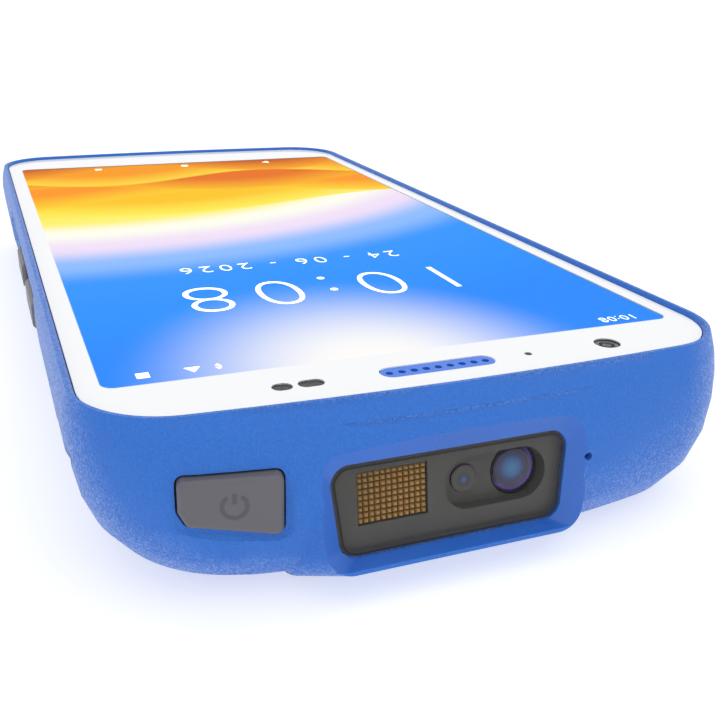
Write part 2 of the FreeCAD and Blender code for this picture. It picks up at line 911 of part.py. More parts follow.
def key_cap(y, length):
    """Rounded key cap with a bevelled face."""
    cap = slab(length, key_h, key_corner, -bank_t - fit, key_proud, y)
    face = [e for e in cap.Edges if e.BoundBox.ZMin > key_proud - fit]
    return cap.makeChamfer(key_bevel, face)


def side_key(side, y, length):
    """Key cap with a retaining flange behind its frame."""
    back = -bank_t - fit
    flange = plate(length + 2 * flange_w, key_h + 2 * flange_w, back - flange_t, back, side * y)
    return at_keys(fuse([key_cap(side * y, length), flange]), side)


def volume_rocker():
    """Two-way key that tilts about its middle, with a short flange and a plunger at each end."""
    y = -second_key_y
    back = -bank_t - fit
    flange = plate(rocker_neck, key_h + 2 * flange_w, back - flange_t - glue, back - glue, y)
    neck = plate(rocker_neck, key_h, back - glue, back, y)
    plungers = [plate(plunger_w, plunger_w, back - flange_t - slide_gap, back, y + reach)
                for reach in (-rocker_reach, rocker_reach)]
    return at_keys(fuse([key_cap(y, second_key_l), neck, flange] + plungers), -1)


def key_switches(side, second):
    """Switch strip behind a row of keys, with a dome for each press."""
    back = -bank_t - bank_block - flange_t
    strip = plate(bank_l - 2 * bank_corner, bank_h, back - switch_t, back, side * bank_y)
    top = -bank_t - flange_t - key_travel - 2 * fit
    places = [scan_key_y] + [second_key_y + reach for reach in second]
    domes = [polygon_rod(12, dome_w / 2, side * y, 0.0, back, top) for y in places]
    return at_keys(fuse([strip] + domes), side)


def receiver_grille():
    """Blue strip in the glass with a row of sound holes."""
    strip = slab(receiver_w, receiver_h, receiver_h / 2, glass_low, glass_top - glue, 0.0, receiver_y)
    holes = []
    for i in range(receiver_holes):
        x = (i - (receiver_holes - 1) / 2) * receiver_pitch
        holes.append(polygon_rod(6, hole_r, x, receiver_y, glass_low - 1, glass_top + 1))
    return strip.cut(holes)


def under_glass(w, length, x, depth):
    """Module that looks or sounds through the glass above the screen."""
    return plate(w, length, glass_low - depth, glass_low, x, receiver_y)


def battery_case():
    """Moulded tray of the battery pack, open towards the terminal."""
    outer = slab(battery_w, battery_l, battery_corner, 0.0, battery_h, 0.0, battery_y)
    bottom = [e for e in outer.Edges if e.BoundBox.ZMax < fit]
    outer = outer.makeChamfer(battery_chamfer, bottom)
    inner = slab(battery_w - 2 * battery_wall, battery_l - 2 * battery_wall, battery_corner - battery_wall,
                 battery_wall, battery_h + 1, 0.0, battery_y)
    walls = [latch_room(side, latch_gap + battery_wall, 0.0).common(inner) for side in (-1, 1)]
    tray = fuse([outer.cut(inner)] + walls)
    return tray.cut([latch_room(side, latch_gap, -1.0) for side in (-1, 1)])


def latch_room(side, grow, low):
    """Room for a latch and its travel, at the edge of the battery pack."""
    x_in = battery_w / 2 - latch_w - latch_travel - grow
    y0 = latch_y - latch_l / 2 - grow
    y1 = latch_y + latch_l / 2 + grow
    x_out = battery_w / 2 + 1.0
    return box(*sorted((side * x_in, side * x_out)), y0, y1, low, latch_h + slide_gap + grow)


def pad_xs():
    return [(i - (pad_n - 1) / 2) * pad_pitch for i in range(pad_n)]


def battery_lid():
    """Plate that closes the pack towards the terminal, with the contacts at its near end."""
    w = battery_w - 2 * (battery_wall + fit)
    length = battery_l - 2 * (battery_wall + fit)
    lid = slab(w, length, battery_corner - battery_wall - fit, battery_h - lid_t, battery_h, 0.0, battery_y)
    pads = [plate(pad_size + 2 * fit, pad_l + 2 * fit, battery_h - pad_t, battery_h + 1, x, pad_y)
            for x in pad_xs()]
    return lid.cut(pads)


def battery_pads():
    return Part.makeCompound([plate(pad_size, pad_l, battery_h - pad_t, battery_h, x, pad_y) for x in pad_xs()])


def battery_cells():
    w = battery_w - 2 * (latch_w + latch_travel + battery_wall + slide_gap)
    length = battery_l - 2 * (battery_wall + slide_gap)
    return plate(w, length, battery_wall, battery_h - lid_t, 0.0, battery_y)


def battery_connector():
    """Spring-pin block that reaches through the well's roof to the pack's pads."""
    low = roof_low + 2 * glue
    block = plate(connector_w, connector_l, low, board_low, 0.0, pad_y)
    pins = [polygon_rod(6, pin_r, x, pad_y, battery_h + fit, low) for x in pad_xs()]
    return fuse([block] + pins)


def battery_latch(side):
    """Sliding latch with a ribbed finger pad and a tongue towards the housing."""
    edge = battery_w / 2
    rib = slide_gap
    y0 = latch_y - latch_l / 2
    y1 = latch_y + latch_l / 2
    body = box(*sorted((side * (edge - latch_w), side * edge)), y0, y1, rib, latch_h)
    ribs = []
    for i in range(latch_ribs):
        x = side * (edge - latch_w * (2 * i + 1) / (2 * latch_ribs))
        ribs.append(plate(latch_w / (2 * latch_ribs), latch_l - 2 * latch_travel, 0.0, rib, x, latch_y))
    tongue = box(*sorted((side * edge, side * (edge + slide_gap - glue))), latch_y - tongue_l / 2,
                 latch_y + tongue_l / 2, latch_h - tongue_t, latch_h)
    return fuse([body, tongue] + ribs)


def card_holder():
    w = door_w - 2 * (door_ledge + holder_gap)
    length = door_l - 2 * (door_ledge + holder_gap)
    return plate(w, length, roof_low + door_t, board_low, 0.0, door_y)


def access_door():
    """Thin cover over the card holder, in the roof of the well."""
    return plate(door_w, door_l, roof_low, roof_low + door_t, 0.0, door_y)


def rear_camera():
    """Camera module on the floor of the housing, with its lens nose towards the back."""
    y = rear_camera_y + rear_lens_y
    body = plate(rear_body_w, rear_body_w, wall, wall + rear_body_t, rear_camera_x, y)
    nose_low = rear_window_sink + rear_window_t + fit
    nose = polygon_rod(16, rear_lens_r, rear_camera_x, y, nose_low, wall)
    return fuse([body, nose])


def rear_camera_window():
    return slab(rear_camera_w - 2 * fit, rear_camera_l - 2 * fit, 2.4, rear_window_sink,
                rear_window_sink + rear_window_t, rear_camera_x, rear_camera_y)


def flash_lens():
    y = rear_camera_y + flash_y
    nose_low = rear_window_sink + rear_window_t + fit
    nose = polygon_rod(12, flash_r, rear_camera_x, y, nose_low, wall)
    body = plate(flash_body_w, flash_body_w, wall, wall + flash_body_t, rear_camera_x, y)
    return fuse([nose, body])


def speaker_mesh():
    return plate(speaker_w - 2 * fit, speaker_l - 2 * fit, wall / 2, wall / 2 + mesh_t, speaker_x, speaker_y)


def loudspeaker():
    low = wall / 2 + mesh_t
    frame = plate(speaker_w - 4 * glue, speaker_l - 4 * glue, low, low + speaker_t, speaker_x, speaker_y)
    cone = plate(speaker_w - 2 * cone_wall, speaker_l - 2 * cone_wall, low - fit, low + cone_d, speaker_x,
                 speaker_y)
    return frame.cut(cone)


def charge_contacts():
    """Gold pads on the back near the bottom end, on a common carrier."""
    carrier = plate(contact_n * contact_pitch, contact_l, wall, wall + carrier_t, 0.0, contact_y)
    pads = [plate(contact_w - 2 * fit, contact_l - 2 * fit, contact_sink, wall, x, contact_y)
            for x in contact_places()]
    return fuse([carrier] + pads)


def housing_screws():
    """Pan-head screws with a six-sided socket, driven from the back into the midframe."""
    screws = []
    for x, y, z in screw_places():
        low = z + (screw_sink if z == 0.0 else 0.0)
        shank = polygon_rod(6, screw_r, x, y, low + screw_head_t, panel_low - glue)
        head = polygon_rod(8, screw_head_r, x, y, low, low + screw_head_t)
        socket = polygon_rod(6, socket_r, x, y, low, low + socket_d)
        screws.append(fuse([shank, head]).cut(socket))
    return Part.makeCompound(screws)


def vibration_motor():
    """Coin motor on the floor beside the scan engine."""
    return polygon_rod(24, motor_r, motor_x, -body_l / 2 + motor_near, wall, wall + motor_t)


def antennas():
    """Flexible antenna under the far end of the midframe."""
    y = body_l / 2 - antenna_far
    return plate(antenna_w, antenna_l, midframe_low - antenna_t, midframe_low, 0.0, y)


def save(name, shape):
    shape.exportStep("parts/" + name + ".step")
    boxed = shape.BoundBox
    print("%-26s %2d solids  %9.2f mm3  x %.2f..%.2f y %.2f..%.2f z %.2f..%.2f  %s" % (
        name, len(shape.Solids), shape.Volume, boxed.XMin, boxed.XMax, boxed.YMin, boxed.YMax,
        boxed.ZMin, boxed.ZMax, "ok" if shape.isValid() else "NOT VALID"))


def save_front():
    save("rear_housing", rear_housing())
    save("housing_seal", housing_seal())
    save("front_bezel", front_bezel())
    save("cover_glass", cover_glass())
    save("glass_gasket", glass_gasket())
    save("display_panel", display_panel())
    save("midframe", midframe())
    save("main_board", main_board())
    save("shield_cans", shield_cans())
    save("display_flex", display_flex())
    save("receiver_grille", receiver_grille())
    save("receiver_speaker", under_glass(speaker_body_w, speaker_body_l, 0.0, module_t))
    save("front_camera", under_glass(camera_w, camera_w, camera_x, module_t))
    save("sensor_module", under_glass(sensor_w, sensor_l, sensor_x, module_t))
    save("status_light_pipe", under_glass(status_w, status_w, status_x, module_t))


def save_scan_end():
    save("exit_window", exit_window())
    save("engine_face", engine_face())
    save("engine_chassis", engine_chassis())
    save("engine_bracket", engine_bracket())
    save("imager_barrel", imager_barrel())
    save("imager_lens", imager_lens())
    save("aimer_lens", aimer_lens())
    save("illumination_lens_array", illumination_lens_array())
    save("power_button", power_button())
    save("power_switch", power_switch())


def save_keys():
    for side, hand, second in ((-1, "right", (-rocker_reach, rocker_reach)), (1, "left", (0.0,))):
        save(hand + "_key_frame", key_frame(side))
        save(hand + "_scan_key", side_key(side, scan_key_y, scan_key_l))
        save(hand + "_key_switches", key_switches(side, second))
    save("volume_rocker", volume_rocker())
    save("push_to_talk_key", side_key(1, second_key_y, second_key_l))


def save_back():
    save("battery_case", battery_case())
    save("battery_lid", battery_lid())
    save("battery_cells", battery_cells())
    save("battery_pads", battery_pads())
    save("battery_connector", battery_connector())
    save("right_battery_latch", battery_latch(-1))
    save("left_battery_latch", battery_latch(1))
    save("card_holder", card_holder())
    save("access_door", access_door())
    save("rear_camera", rear_camera())
    save("rear_camera_window", rear_camera_window())
    save("flash_lens", flash_lens())
    save("speaker_mesh", speaker_mesh())
    save("loudspeaker", loudspeaker())
    save("charge_contacts", charge_contacts())
    save("housing_screws", housing_screws())
    save("vibration_motor", vibration_motor())
    save("antennas", antennas())


def main():
    os.makedirs("parts", exist_ok=True)
    save_front()
    save_scan_end()
    save_keys()
    save_back()


main()
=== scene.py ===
# %% [markdown]
# This lesson dresses a rugged hand-held data terminal: a blue moulded housing with a bright touch
# screen, a scan window in its near end, rubbery side keys and a battery in its back. The pieces
# already exist as solids of the right size, so the work here is finish, fine detail and light.
# The first cell loads the solids.

# %% Load the construction
import json
import math

import bmesh
import bpy
from mathutils import Matrix, Vector


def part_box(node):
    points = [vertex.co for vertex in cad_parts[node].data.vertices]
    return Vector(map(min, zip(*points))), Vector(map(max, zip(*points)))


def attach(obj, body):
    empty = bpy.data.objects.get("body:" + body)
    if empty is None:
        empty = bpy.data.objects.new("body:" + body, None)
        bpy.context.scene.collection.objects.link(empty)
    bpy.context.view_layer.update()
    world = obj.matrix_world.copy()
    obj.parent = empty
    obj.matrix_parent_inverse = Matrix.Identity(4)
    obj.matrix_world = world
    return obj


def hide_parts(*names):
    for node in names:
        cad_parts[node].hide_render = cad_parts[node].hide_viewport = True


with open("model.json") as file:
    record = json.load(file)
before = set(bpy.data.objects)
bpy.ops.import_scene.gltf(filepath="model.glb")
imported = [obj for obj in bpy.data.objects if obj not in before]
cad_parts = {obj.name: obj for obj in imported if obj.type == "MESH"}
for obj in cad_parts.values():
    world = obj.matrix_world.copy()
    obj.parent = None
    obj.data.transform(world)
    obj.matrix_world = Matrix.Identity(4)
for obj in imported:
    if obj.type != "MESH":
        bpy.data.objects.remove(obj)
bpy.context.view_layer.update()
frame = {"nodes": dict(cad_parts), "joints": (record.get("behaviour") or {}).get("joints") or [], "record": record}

nodes = frame["nodes"]
scene = bpy.context.scene

# %% [markdown]
# Sizes on a small device are easiest to think of in millimetres, and colours as the hex values
# that a paint chart gives. Blender works in metres and linear light, so two short helpers turn one
# into the other. Another adds a node to any tree with its settings and links in one line, which
# keeps each recipe below short enough to read.

# %% Millimetres, colours and a helper for nodes
MM = 0.001


def linear(hex_colour, alpha=1.0):
    """Linear colour of an sRGB hex value such as #3A6FD0."""
    parts = [int(hex_colour[i:i + 2], 16) / 255 for i in (1, 3, 5)]
    light = [c / 12.92 if c <= 0.04045 else ((c + 0.055) / 1.055) ** 2.4 for c in parts]
    return (*light, alpha)


def set_inputs(tree, node, links):
    """Gives inputs, by name or number, a value, an output or the first output of another node."""
    for name, value in links.items():
        if isinstance(value, bpy.types.Node):
            value = value.outputs[0]
        if isinstance(value, bpy.types.NodeSocket):
            tree.links.new(value, node.inputs[name])
        else:
            node.inputs[name].default_value = value


def add_node(tree, kind, links=None, **settings):
    """Adds a node of any kind with its settings and with inputs as set_inputs takes them."""
    node = tree.nodes.new(kind)
    for name, value in settings.items():
        setattr(node, name, value)
    set_inputs(tree, node, links or {})
    return node


def per_mm(size):
    """Texture scale whose features are this many millimetres across."""
    return 1 / (size * MM)


BODY_BLUE = "#2F6FCB"
# GLINT_PALE tints the grain's real sheen and is the colour of the painted glint on its crests.
GLINT_PALE = "#CFDCFC"
print("body blue in linear light:", [round(c, 3) for c in linear(BODY_BLUE)])

# %% [markdown]
# A finish starts from one shader. This helper makes the material with its steady values set on
# the shader's own sockets and hands back the tree, so that the recipe adds only what varies over
# the surface. The object's own coordinates carry every pattern: the pieces never move away from
# their place in the mesh, so a pattern in real millimetres stays put. The other helpers mask a
# rounded panel, measure how far a place lies from a point, fill a colour ramp, and read a solid's
# middle and size in millimetres.

# %% Start a finish


def start_finish(name, colour, roughness, metallic=0.0, **sockets):
    """New material with a steady base: returns its tree, its shader and the object's coordinates."""
    material = bpy.data.materials.new(name)
    material.use_nodes = True
    material.diffuse_color = linear(colour)
    tree = material.node_tree
    shader = tree.nodes["Principled BSDF"]
    shader.inputs["Base Color"].default_value = linear(colour)
    shader.inputs["Roughness"].default_value = roughness
    shader.inputs["Metallic"].default_value = metallic
    for socket, value in sockets.items():
        shader.inputs[socket.replace("_", " ")].default_value = value
    place = add_node(tree, "ShaderNodeTexCoord").outputs["Object"]
    return tree, shader, place


def panel_mask(tree, place, centre, half, radius, soft=0.05):
    """1 inside a rounded panel, 0 outside. Sizes in mm; a half size of 1000 means no limit."""
    about = add_node(tree, "ShaderNodeVectorMath", {0: place, 1: Vector(centre) * MM},
                     operation="SUBTRACT")
    folded = add_node(tree, "ShaderNodeVectorMath", {0: about}, operation="ABSOLUTE")
    core = (Vector(half) - Vector((radius, radius, radius))) * MM
    over = add_node(tree, "ShaderNodeVectorMath", {0: folded, 1: core}, operation="SUBTRACT")
    past = add_node(tree, "ShaderNodeVectorMath", {0: over, 1: (0, 0, 0)}, operation="MAXIMUM")
    gap = add_node(tree, "ShaderNodeVectorMath", {0: past}, operation="LENGTH").outputs["Value"]
    return add_node(tree, "ShaderNodeMapRange", {
        "Value": gap, "From Min": (radius - soft) * MM, "From Max": (radius + soft) * MM,
        "To Min": 1.0, "To Max": 0.0})


def reach_from(tree, place, point, stretch):
    """Distance from a point, with each axis stretched by its own share. A share of 0 leaves it out."""
    about = add_node(tree, "ShaderNodeVectorMath", {0: place, 1: point}, operation="SUBTRACT")
    scaled = add_node(tree, "ShaderNodeVectorMath", {0: about, 1: stretch}, operation="MULTIPLY")
    return add_node(tree, "ShaderNodeVectorMath", {0: scaled}, operation="LENGTH").outputs["Value"]


def set_stops(ramp, stops):
    """Gives a colour ramp its stops: where each one lies, from 0 to 1, and its colour."""
    points = ramp.color_ramp.elements
    while len(points) < len(stops):
        points.new(0.5)
    for point, (where, colour) in zip(points, stops):
        point.position = where
        point.color = linear(colour)


def centre_mm(node):
    """Middle of a solid's box in millimetres."""
    low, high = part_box(node)
    return (low + high) / 2 / MM


def size_mm(node):
    """Width, length and height of a solid's box in millimetres."""
    low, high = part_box(node)
    return (high - low) / MM


print("scan window centre, mm:", [round(v, 2) for v in centre_mm("exit_window")])

# %% [markdown]
# The housing is moulded ABS with a spark-eroded texture: shallow bumps a fifth of a millimetre
# across that hide fingerprints. Seen square on, its tone only varies a little with the bumps. At a
# low angle the crests are painted pale into the base colour: a painted glint that stands for the
# white room they catch, as on the corners of the real one. The boot pockets and the battery well
# were polished in the mould, so a mask takes the texture and the painted glint off there. The walls
# of the scan window's recess get a polished finish further on, in a darker blue that is partly
# painted shade.

# %% Moulded ABS, spark-eroded blue


def textured_abs(name, colour, pale, grain, depth, roughness, painted_glint_share, smooth_at=()):
    """Grained plastic. smooth_at lists rounded panels (centre, half, radius) that are polished."""
    tree, shader, place = start_finish(name, colour, roughness, Specular_IOR_Level=0.3,
                                       Sheen_Weight=0.12, Sheen_Roughness=0.35,
                                       Sheen_Tint=linear(pale))
    bumps = add_node(tree, "ShaderNodeTexNoise", {
        "Vector": place, "Scale": per_mm(grain), "Detail": 3.0, "Roughness": 0.55, "Distortion": 0.6})
    strength = 1.0
    for centre, half, radius in smooth_at:
        mask = panel_mask(tree, place, centre, half, radius, soft=0.15)
        strength = add_node(tree, "ShaderNodeMath", {0: strength, 1: mask}, operation="SUBTRACT",
                            use_clamp=True)
    relief = add_node(tree, "ShaderNodeMath", {0: bumps, 1: strength}, operation="MULTIPLY")
    bump = add_node(tree, "ShaderNodeBump", {"Height": relief, "Distance": depth * MM, "Strength": 1.0})
    # Painted glint: at low angles the crests are mixed towards the pale colour in the base colour itself, a
    # painted reflection of the white room, kept off the polished places.
    grazing = add_node(tree, "ShaderNodeLayerWeight", {"Blend": 0.5})
    low_angle = add_node(tree, "ShaderNodeMapRange", {
        "Value": grazing.outputs["Facing"], "From Min": 0.35, "From Max": 0.9,
        "To Min": 0.0, "To Max": 1.0})
    crest = add_node(tree, "ShaderNodeMapRange", {
        "Value": bumps, "From Min": 0.46, "From Max": 0.6, "To Min": 0.0, "To Max": 1.0})
    painted_glint = add_node(tree, "ShaderNodeMath", {0: crest, 1: low_angle}, operation="MULTIPLY")
    painted_glint_on_grain = add_node(tree, "ShaderNodeMath", {0: painted_glint, 1: strength}, operation="MULTIPLY")
    amount = add_node(tree, "ShaderNodeMath", {0: painted_glint_on_grain, 1: painted_glint_share}, operation="MULTIPLY")
    painted_light = add_node(tree, "ShaderNodeMix", {"Factor": amount, "A": linear(colour), "B": linear(pale)},
                     data_type="RGBA")
    mottle = add_node(tree, "ShaderNodeMapRange", {
        "Value": bumps, "From Min": 0.36, "From Max": 0.64, "To Min": 0.9, "To Max": 1.07})
    tone = add_node(tree, "ShaderNodeHueSaturation", {"Color": painted_light.outputs["Result"], "Value": mottle})
    gloss = add_node(tree, "ShaderNodeMapRange", {
        "Value": strength, "From Min": 0.0, "From Max": 1.0,
        "To Min": roughness * 0.7, "To Max": roughness})
    set_inputs(tree, shader, {"Base Color": tone, "Roughness": gloss, "Normal": bump})
    return bpy.data.materials[name]


OPEN = 1000.0
ABS_GRAIN = 0.22
WELL_MID_Z = 6.0
WELL_HALF_H = 5.8
WELL_MARGIN = 0.9
battery_mid = centre_mm("battery_case")
battery_size = size_mm("battery_case")
well_half = (battery_size.x / 2 + WELL_MARGIN, battery_size.y / 2 + WELL_MARGIN, WELL_HALF_H)
well_walls = ((battery_mid.x, battery_mid.y, WELL_MID_Z), well_half, 0.5)
POCKET_BACK = 19.75
POCKET_Z = 9.75
POCKET_HALF = (1.4, 5.9, 2.9)
housing_size = size_mm("rear_housing")
pockets = [((side * housing_size.x / 2, POCKET_BACK - housing_size.y / 2, POCKET_Z), POCKET_HALF, 0.4)
           for side in (-1, 1)]
housing_blue = textured_abs("moulded_abs_blue", BODY_BLUE, GLINT_PALE, ABS_GRAIN, depth=0.085,
                            roughness=0.5, painted_glint_share=0.42, smooth_at=[well_walls] + pockets)
print("housing finish made, polished places:", 1 + len(pockets))

# %% [markdown]
# The rim round the glass is a separate moulding, but it takes the housing's grain so that the two
# read as one. The keys are a soft grey polycarbonate blend, much smoother: the recipe below has a far
# shallower grain and a little variation of tone and gloss. Its numbers are the size and the depth of
# the grain in millimetres, and the roughness.

# %% Satin plastics


def satin_plastic(name, colour, grain, depth, roughness, **sockets):
    """Smooth moulded plastic with a faint grain and slight variation of tone and gloss."""
    tree, shader, place = start_finish(name, colour, roughness, **sockets)
    fine = add_node(tree, "ShaderNodeTexNoise", {"Vector": place, "Scale": per_mm(grain), "Detail": 3.0})
    broad = add_node(tree, "ShaderNodeTexNoise", {"Vector": place, "Scale": per_mm(9.0), "Detail": 3.0})
    bump = add_node(tree, "ShaderNodeBump", {"Height": fine, "Distance": depth * MM})
    gloss = add_node(tree, "ShaderNodeMapRange", {
        "Value": broad, "From Min": 0.3, "From Max": 0.7,
        "To Min": roughness - 0.06, "To Max": roughness + 0.06})
    value = add_node(tree, "ShaderNodeMapRange", {
        "Value": broad, "From Min": 0.3, "From Max": 0.7, "To Min": 0.95, "To Max": 1.05})
    tone = add_node(tree, "ShaderNodeHueSaturation", {"Color": linear(colour), "Value": value})
    set_inputs(tree, shader, {"Base Color": tone, "Roughness": gloss, "Normal": bump})
    return bpy.data.materials[name]


# The rim and the battery take the same painted glint, pale on their crests at low angles.
bezel_blue = textured_abs("moulded_abs_rim", BODY_BLUE, GLINT_PALE, ABS_GRAIN, depth=0.06,
                          roughness=0.5, painted_glint_share=0.3)
# The recess's walls are a darker blue than the body: partly the deeper look of a polished face, and partly painted
# shade in the recess.
recess_blue_painted_shade = satin_plastic("polished_abs_recess_painted_shade", "#2B66C4", 0.3, 0.003, 0.3)
grille_blue = satin_plastic("satin_abs_grille", "#3A78E2", 0.25, 0.006, 0.4)
key_grey = satin_plastic("satin_pc_keys", "#5E5C63", 0.3, 0.012, 0.45)
dark_plastic = satin_plastic("black_nylon_moulding", "#2B2B2D", 0.3, 0.02, 0.55)
engine_dark = satin_plastic("dark_grey_engine_panel", "#565552", 0.35, 0.006, 0.5)
battery_plastic = textured_abs("moulded_pc_battery", "#33353A", "#4A4D54", 0.5, depth=0.05,
                               roughness=0.55, painted_glint_share=0.5)
gasket_rubber = satin_plastic("silicone_seal", "#1B1B1D", 0.5, 0.02, 0.7)
print("satin finishes:", bezel_blue.name, key_grey.name)

# %% [markdown]
# The cover glass is chemically hardened and printed white on its back, except where the screen,
# the camera, the two sensors and the status light look through. The print is a mask in the glass
# itself: opaque white outside, almost fully clear inside. The screen below then really shows
# through the glass, as it does on a bench.

# %% Printed cover glass
screen_mid = centre_mm("display_panel")
screen_size = size_mm("display_panel")
PANEL_BORDER = 0.7
screen_half = Vector((screen_size.x / 2 - PANEL_BORDER, screen_size.y / 2 - PANEL_BORDER, OPEN))
sensor_mid = centre_mm("sensor_module")
camera_mid = centre_mm("front_camera")
light_mid = centre_mm("status_light_pipe")
CAMERA_R = 1.45
LIGHT_R = 0.42
SENSOR_OVALS = ((-1.55, 1.05, 0.85), (1.4, 1.35, 0.85))


def printed_glass():
    tree, shader, place = start_finish("printed_cover_glass", "#F7F8FA", 0.06,
                                       IOR=1.5, Specular_IOR_Level=0.22)
    clear = panel_mask(tree, place, screen_mid, screen_half, 1.4)
    holes = [(camera_mid, (CAMERA_R, CAMERA_R, OPEN), CAMERA_R),
             (light_mid, (LIGHT_R, LIGHT_R, OPEN), LIGHT_R)]
    for shift, half_w, half_l in SENSOR_OVALS:
        holes.append((sensor_mid + Vector((shift, 0, 0)), (half_w, half_l, OPEN), half_l))
    for centre, half, radius in holes:
        hole = panel_mask(tree, place, centre, half, min(radius, half[0]), soft=0.03)
        clear = add_node(tree, "ShaderNodeMath", {0: clear, 1: hole}, operation="MAXIMUM")
    alpha = add_node(tree, "ShaderNodeMapRange", {
        "Value": clear, "From Min": 0.0, "From Max": 1.0, "To Min": 1.0, "To Max": 0.02})
    smear = add_node(tree, "ShaderNodeTexNoise", {"Vector": place, "Scale": per_mm(16.0), "Detail": 4.0})
    gloss = add_node(tree, "ShaderNodeMapRange", {
        "Value": smear, "From Min": 0.4, "From Max": 0.7, "To Min": 0.04, "To Max": 0.1})
    set_inputs(tree, shader, {"Alpha": alpha, "Roughness": gloss})
    return bpy.data.materials["printed_cover_glass"]


cover_glass = printed_glass()
print("screen half size, mm:", [round(v, 2) for v in screen_half[:2]])

# %% [markdown]
# A lit screen gives its own light, so its picture is emission at a strength of one, where a colour
# shows as it is written. The picture is a plain design: a warm glow that spreads from the far edge
# through yellow and white into sky blue, behind a few rows of rounded dunes. Each dune is one sine
# line: everything past the line takes the dune's colour, lighter at its crest.

# %% Lit display


def glow_colours(tree, amount):
    """Orange through yellow, white and lavender to sky blue."""
    ramp = add_node(tree, "ShaderNodeValToRGB", {"Fac": amount})
    ramp.color_ramp.interpolation = "EASE"
    set_stops(ramp, (
        (0.0, "#FF7A00"), (0.22, "#FFA800"), (0.38, "#FFD800"), (0.47, "#FFF36A"), (0.54, "#FFFFF0"),
        (0.61, "#F3E2FA"), (0.69, "#8CBCFF"), (0.77, "#2294FF"), (0.88, "#1490FF"), (1.0, "#0A88FF")))
    return ramp


SUN_AT, SUN_STRETCH = (0.12, 1.06, 0), (0.5, 1.0, 0)
MIST_AT, MIST_STRETCH = (0.42, -0.02, 0), (1.0, 1.6, 0)
DUNE_WAVES, MORE_WAVES = 4.6, 0.7
DUNE_SHIFT = 2.1
DUNE_HEIGHT = 0.04
FIRST_DUNE, DUNE_PITCH = 0.64, 0.075


def lit_display():
    tree, shader, place = start_finish("lit_display", "#050607", 0.12, Emission_Strength=1.0,
                                       Specular_IOR_Level=0.0)
    low = Vector((screen_mid.x - screen_half.x, screen_mid.y - screen_half.y, 0)) * MM
    spread = Vector((1 / (2 * screen_half.x * MM), 1 / (2 * screen_half.y * MM), 1))
    from_low = add_node(tree, "ShaderNodeVectorMath", {0: place, 1: low}, operation="SUBTRACT")
    share = add_node(tree, "ShaderNodeVectorMath", {0: from_low, 1: spread}, operation="MULTIPLY")
    axes = add_node(tree, "ShaderNodeSeparateXYZ", {0: share})
    across, along = axes.outputs["X"], axes.outputs["Y"]
    picture = glow_colours(tree, reach_from(tree, share, SUN_AT, SUN_STRETCH))
    near_mist = reach_from(tree, share, MIST_AT, MIST_STRETCH)
    mist = add_node(tree, "ShaderNodeMapRange", {
        "Value": near_mist, "From Min": 0.05, "From Max": 0.42, "To Min": 1.0, "To Max": 0.0},
        interpolation_type="SMOOTHSTEP")
    picture = add_node(tree, "ShaderNodeMix", {
        "Factor": mist, "A": picture, "B": linear("#FFFDFB")}, data_type="RGBA").outputs["Result"]
    dunes = (("#FFF04A", "#FFC400"), ("#FFD21A", "#FF9200"), ("#FFB40A", "#E86C00"),
             ("#FFE23A", "#FFA000"), ("#FFA40A", "#C85200"))
    for row, (crest_colour, body_colour) in enumerate(dunes):
        angle = add_node(tree, "ShaderNodeMath", {
            0: across, 1: DUNE_WAVES + MORE_WAVES * row, 2: DUNE_SHIFT * row},
            operation="MULTIPLY_ADD")
        wave = add_node(tree, "ShaderNodeMath", {0: angle}, operation="SINE")
        line = add_node(tree, "ShaderNodeMath", {
            0: wave, 1: DUNE_HEIGHT, 2: -FIRST_DUNE - DUNE_PITCH * row}, operation="MULTIPLY_ADD")
        past = add_node(tree, "ShaderNodeMath", {0: along, 1: line}, operation="ADD")
        inside = add_node(tree, "ShaderNodeMapRange", {
            "Value": past, "From Min": 0.0, "From Max": 0.006, "To Min": 0.0, "To Max": 0.9})
        depth = add_node(tree, "ShaderNodeMapRange", {
            "Value": past, "From Min": 0.0, "From Max": 0.09, "To Min": 0.0, "To Max": 1.0})
        dune = add_node(tree, "ShaderNodeMix", {
            "Factor": depth, "A": linear(crest_colour), "B": linear(body_colour)}, data_type="RGBA")
        picture = add_node(tree, "ShaderNodeMix", {
            "Factor": inside, "A": picture, "B": dune.outputs["Result"]},
            data_type="RGBA").outputs["Result"]
    set_inputs(tree, shader, {"Emission Color": picture})
    return bpy.data.materials["lit_display"]


screen = lit_display()
print("display picture:", len(screen.node_tree.nodes), "nodes")

# %% [markdown]
# Behind the scan window sit the optics. The window is a thin tinted sheet, so it is mostly clear
# with a weak dark cast. The imager's lens has a coating that turns what it reflects blue and
# violet: rings of painted reflection in its base colour stand for it, a little off the lens's axis,
# so that the painted blue patch sits up on one side and the violet shows as an arc on the other. The
# aimer's lens gets painted rings of the same kind, blue in the middle.

# %% Window, lenses and brass


def tinted_window():
    tree, shader, place = start_finish("tinted_pc_window", "#2A2A28", 0.08, IOR=1.58,
                                       Specular_IOR_Level=0.3)
    haze = add_node(tree, "ShaderNodeTexNoise", {"Vector": place, "Scale": per_mm(5.0), "Detail": 3.0})
    cast = add_node(tree, "ShaderNodeMapRange", {
        "Value": haze, "From Min": 0.3, "From Max": 0.7, "To Min": 0.1, "To Max": 0.14})
    set_inputs(tree, shader, {"Alpha": cast})
    return bpy.data.materials["tinted_pc_window"]


def ringed_finish(name, colour, centre, radius, plane, stops, roughness, **sockets):
    """Rings of colour about a centre in mm. plane holds 1 for each axis that leads outwards."""
    tree, shader, place = start_finish(name, colour, roughness, IOR=1.6, **sockets)
    reach = reach_from(tree, place, Vector(centre) * MM, plane)
    share = add_node(tree, "ShaderNodeMath", {0: reach, 1: radius * MM}, operation="DIVIDE")
    ramp = add_node(tree, "ShaderNodeValToRGB", {"Fac": share})
    set_stops(ramp, stops)
    set_inputs(tree, shader, {"Base Color": ramp})
    return bpy.data.materials[name]


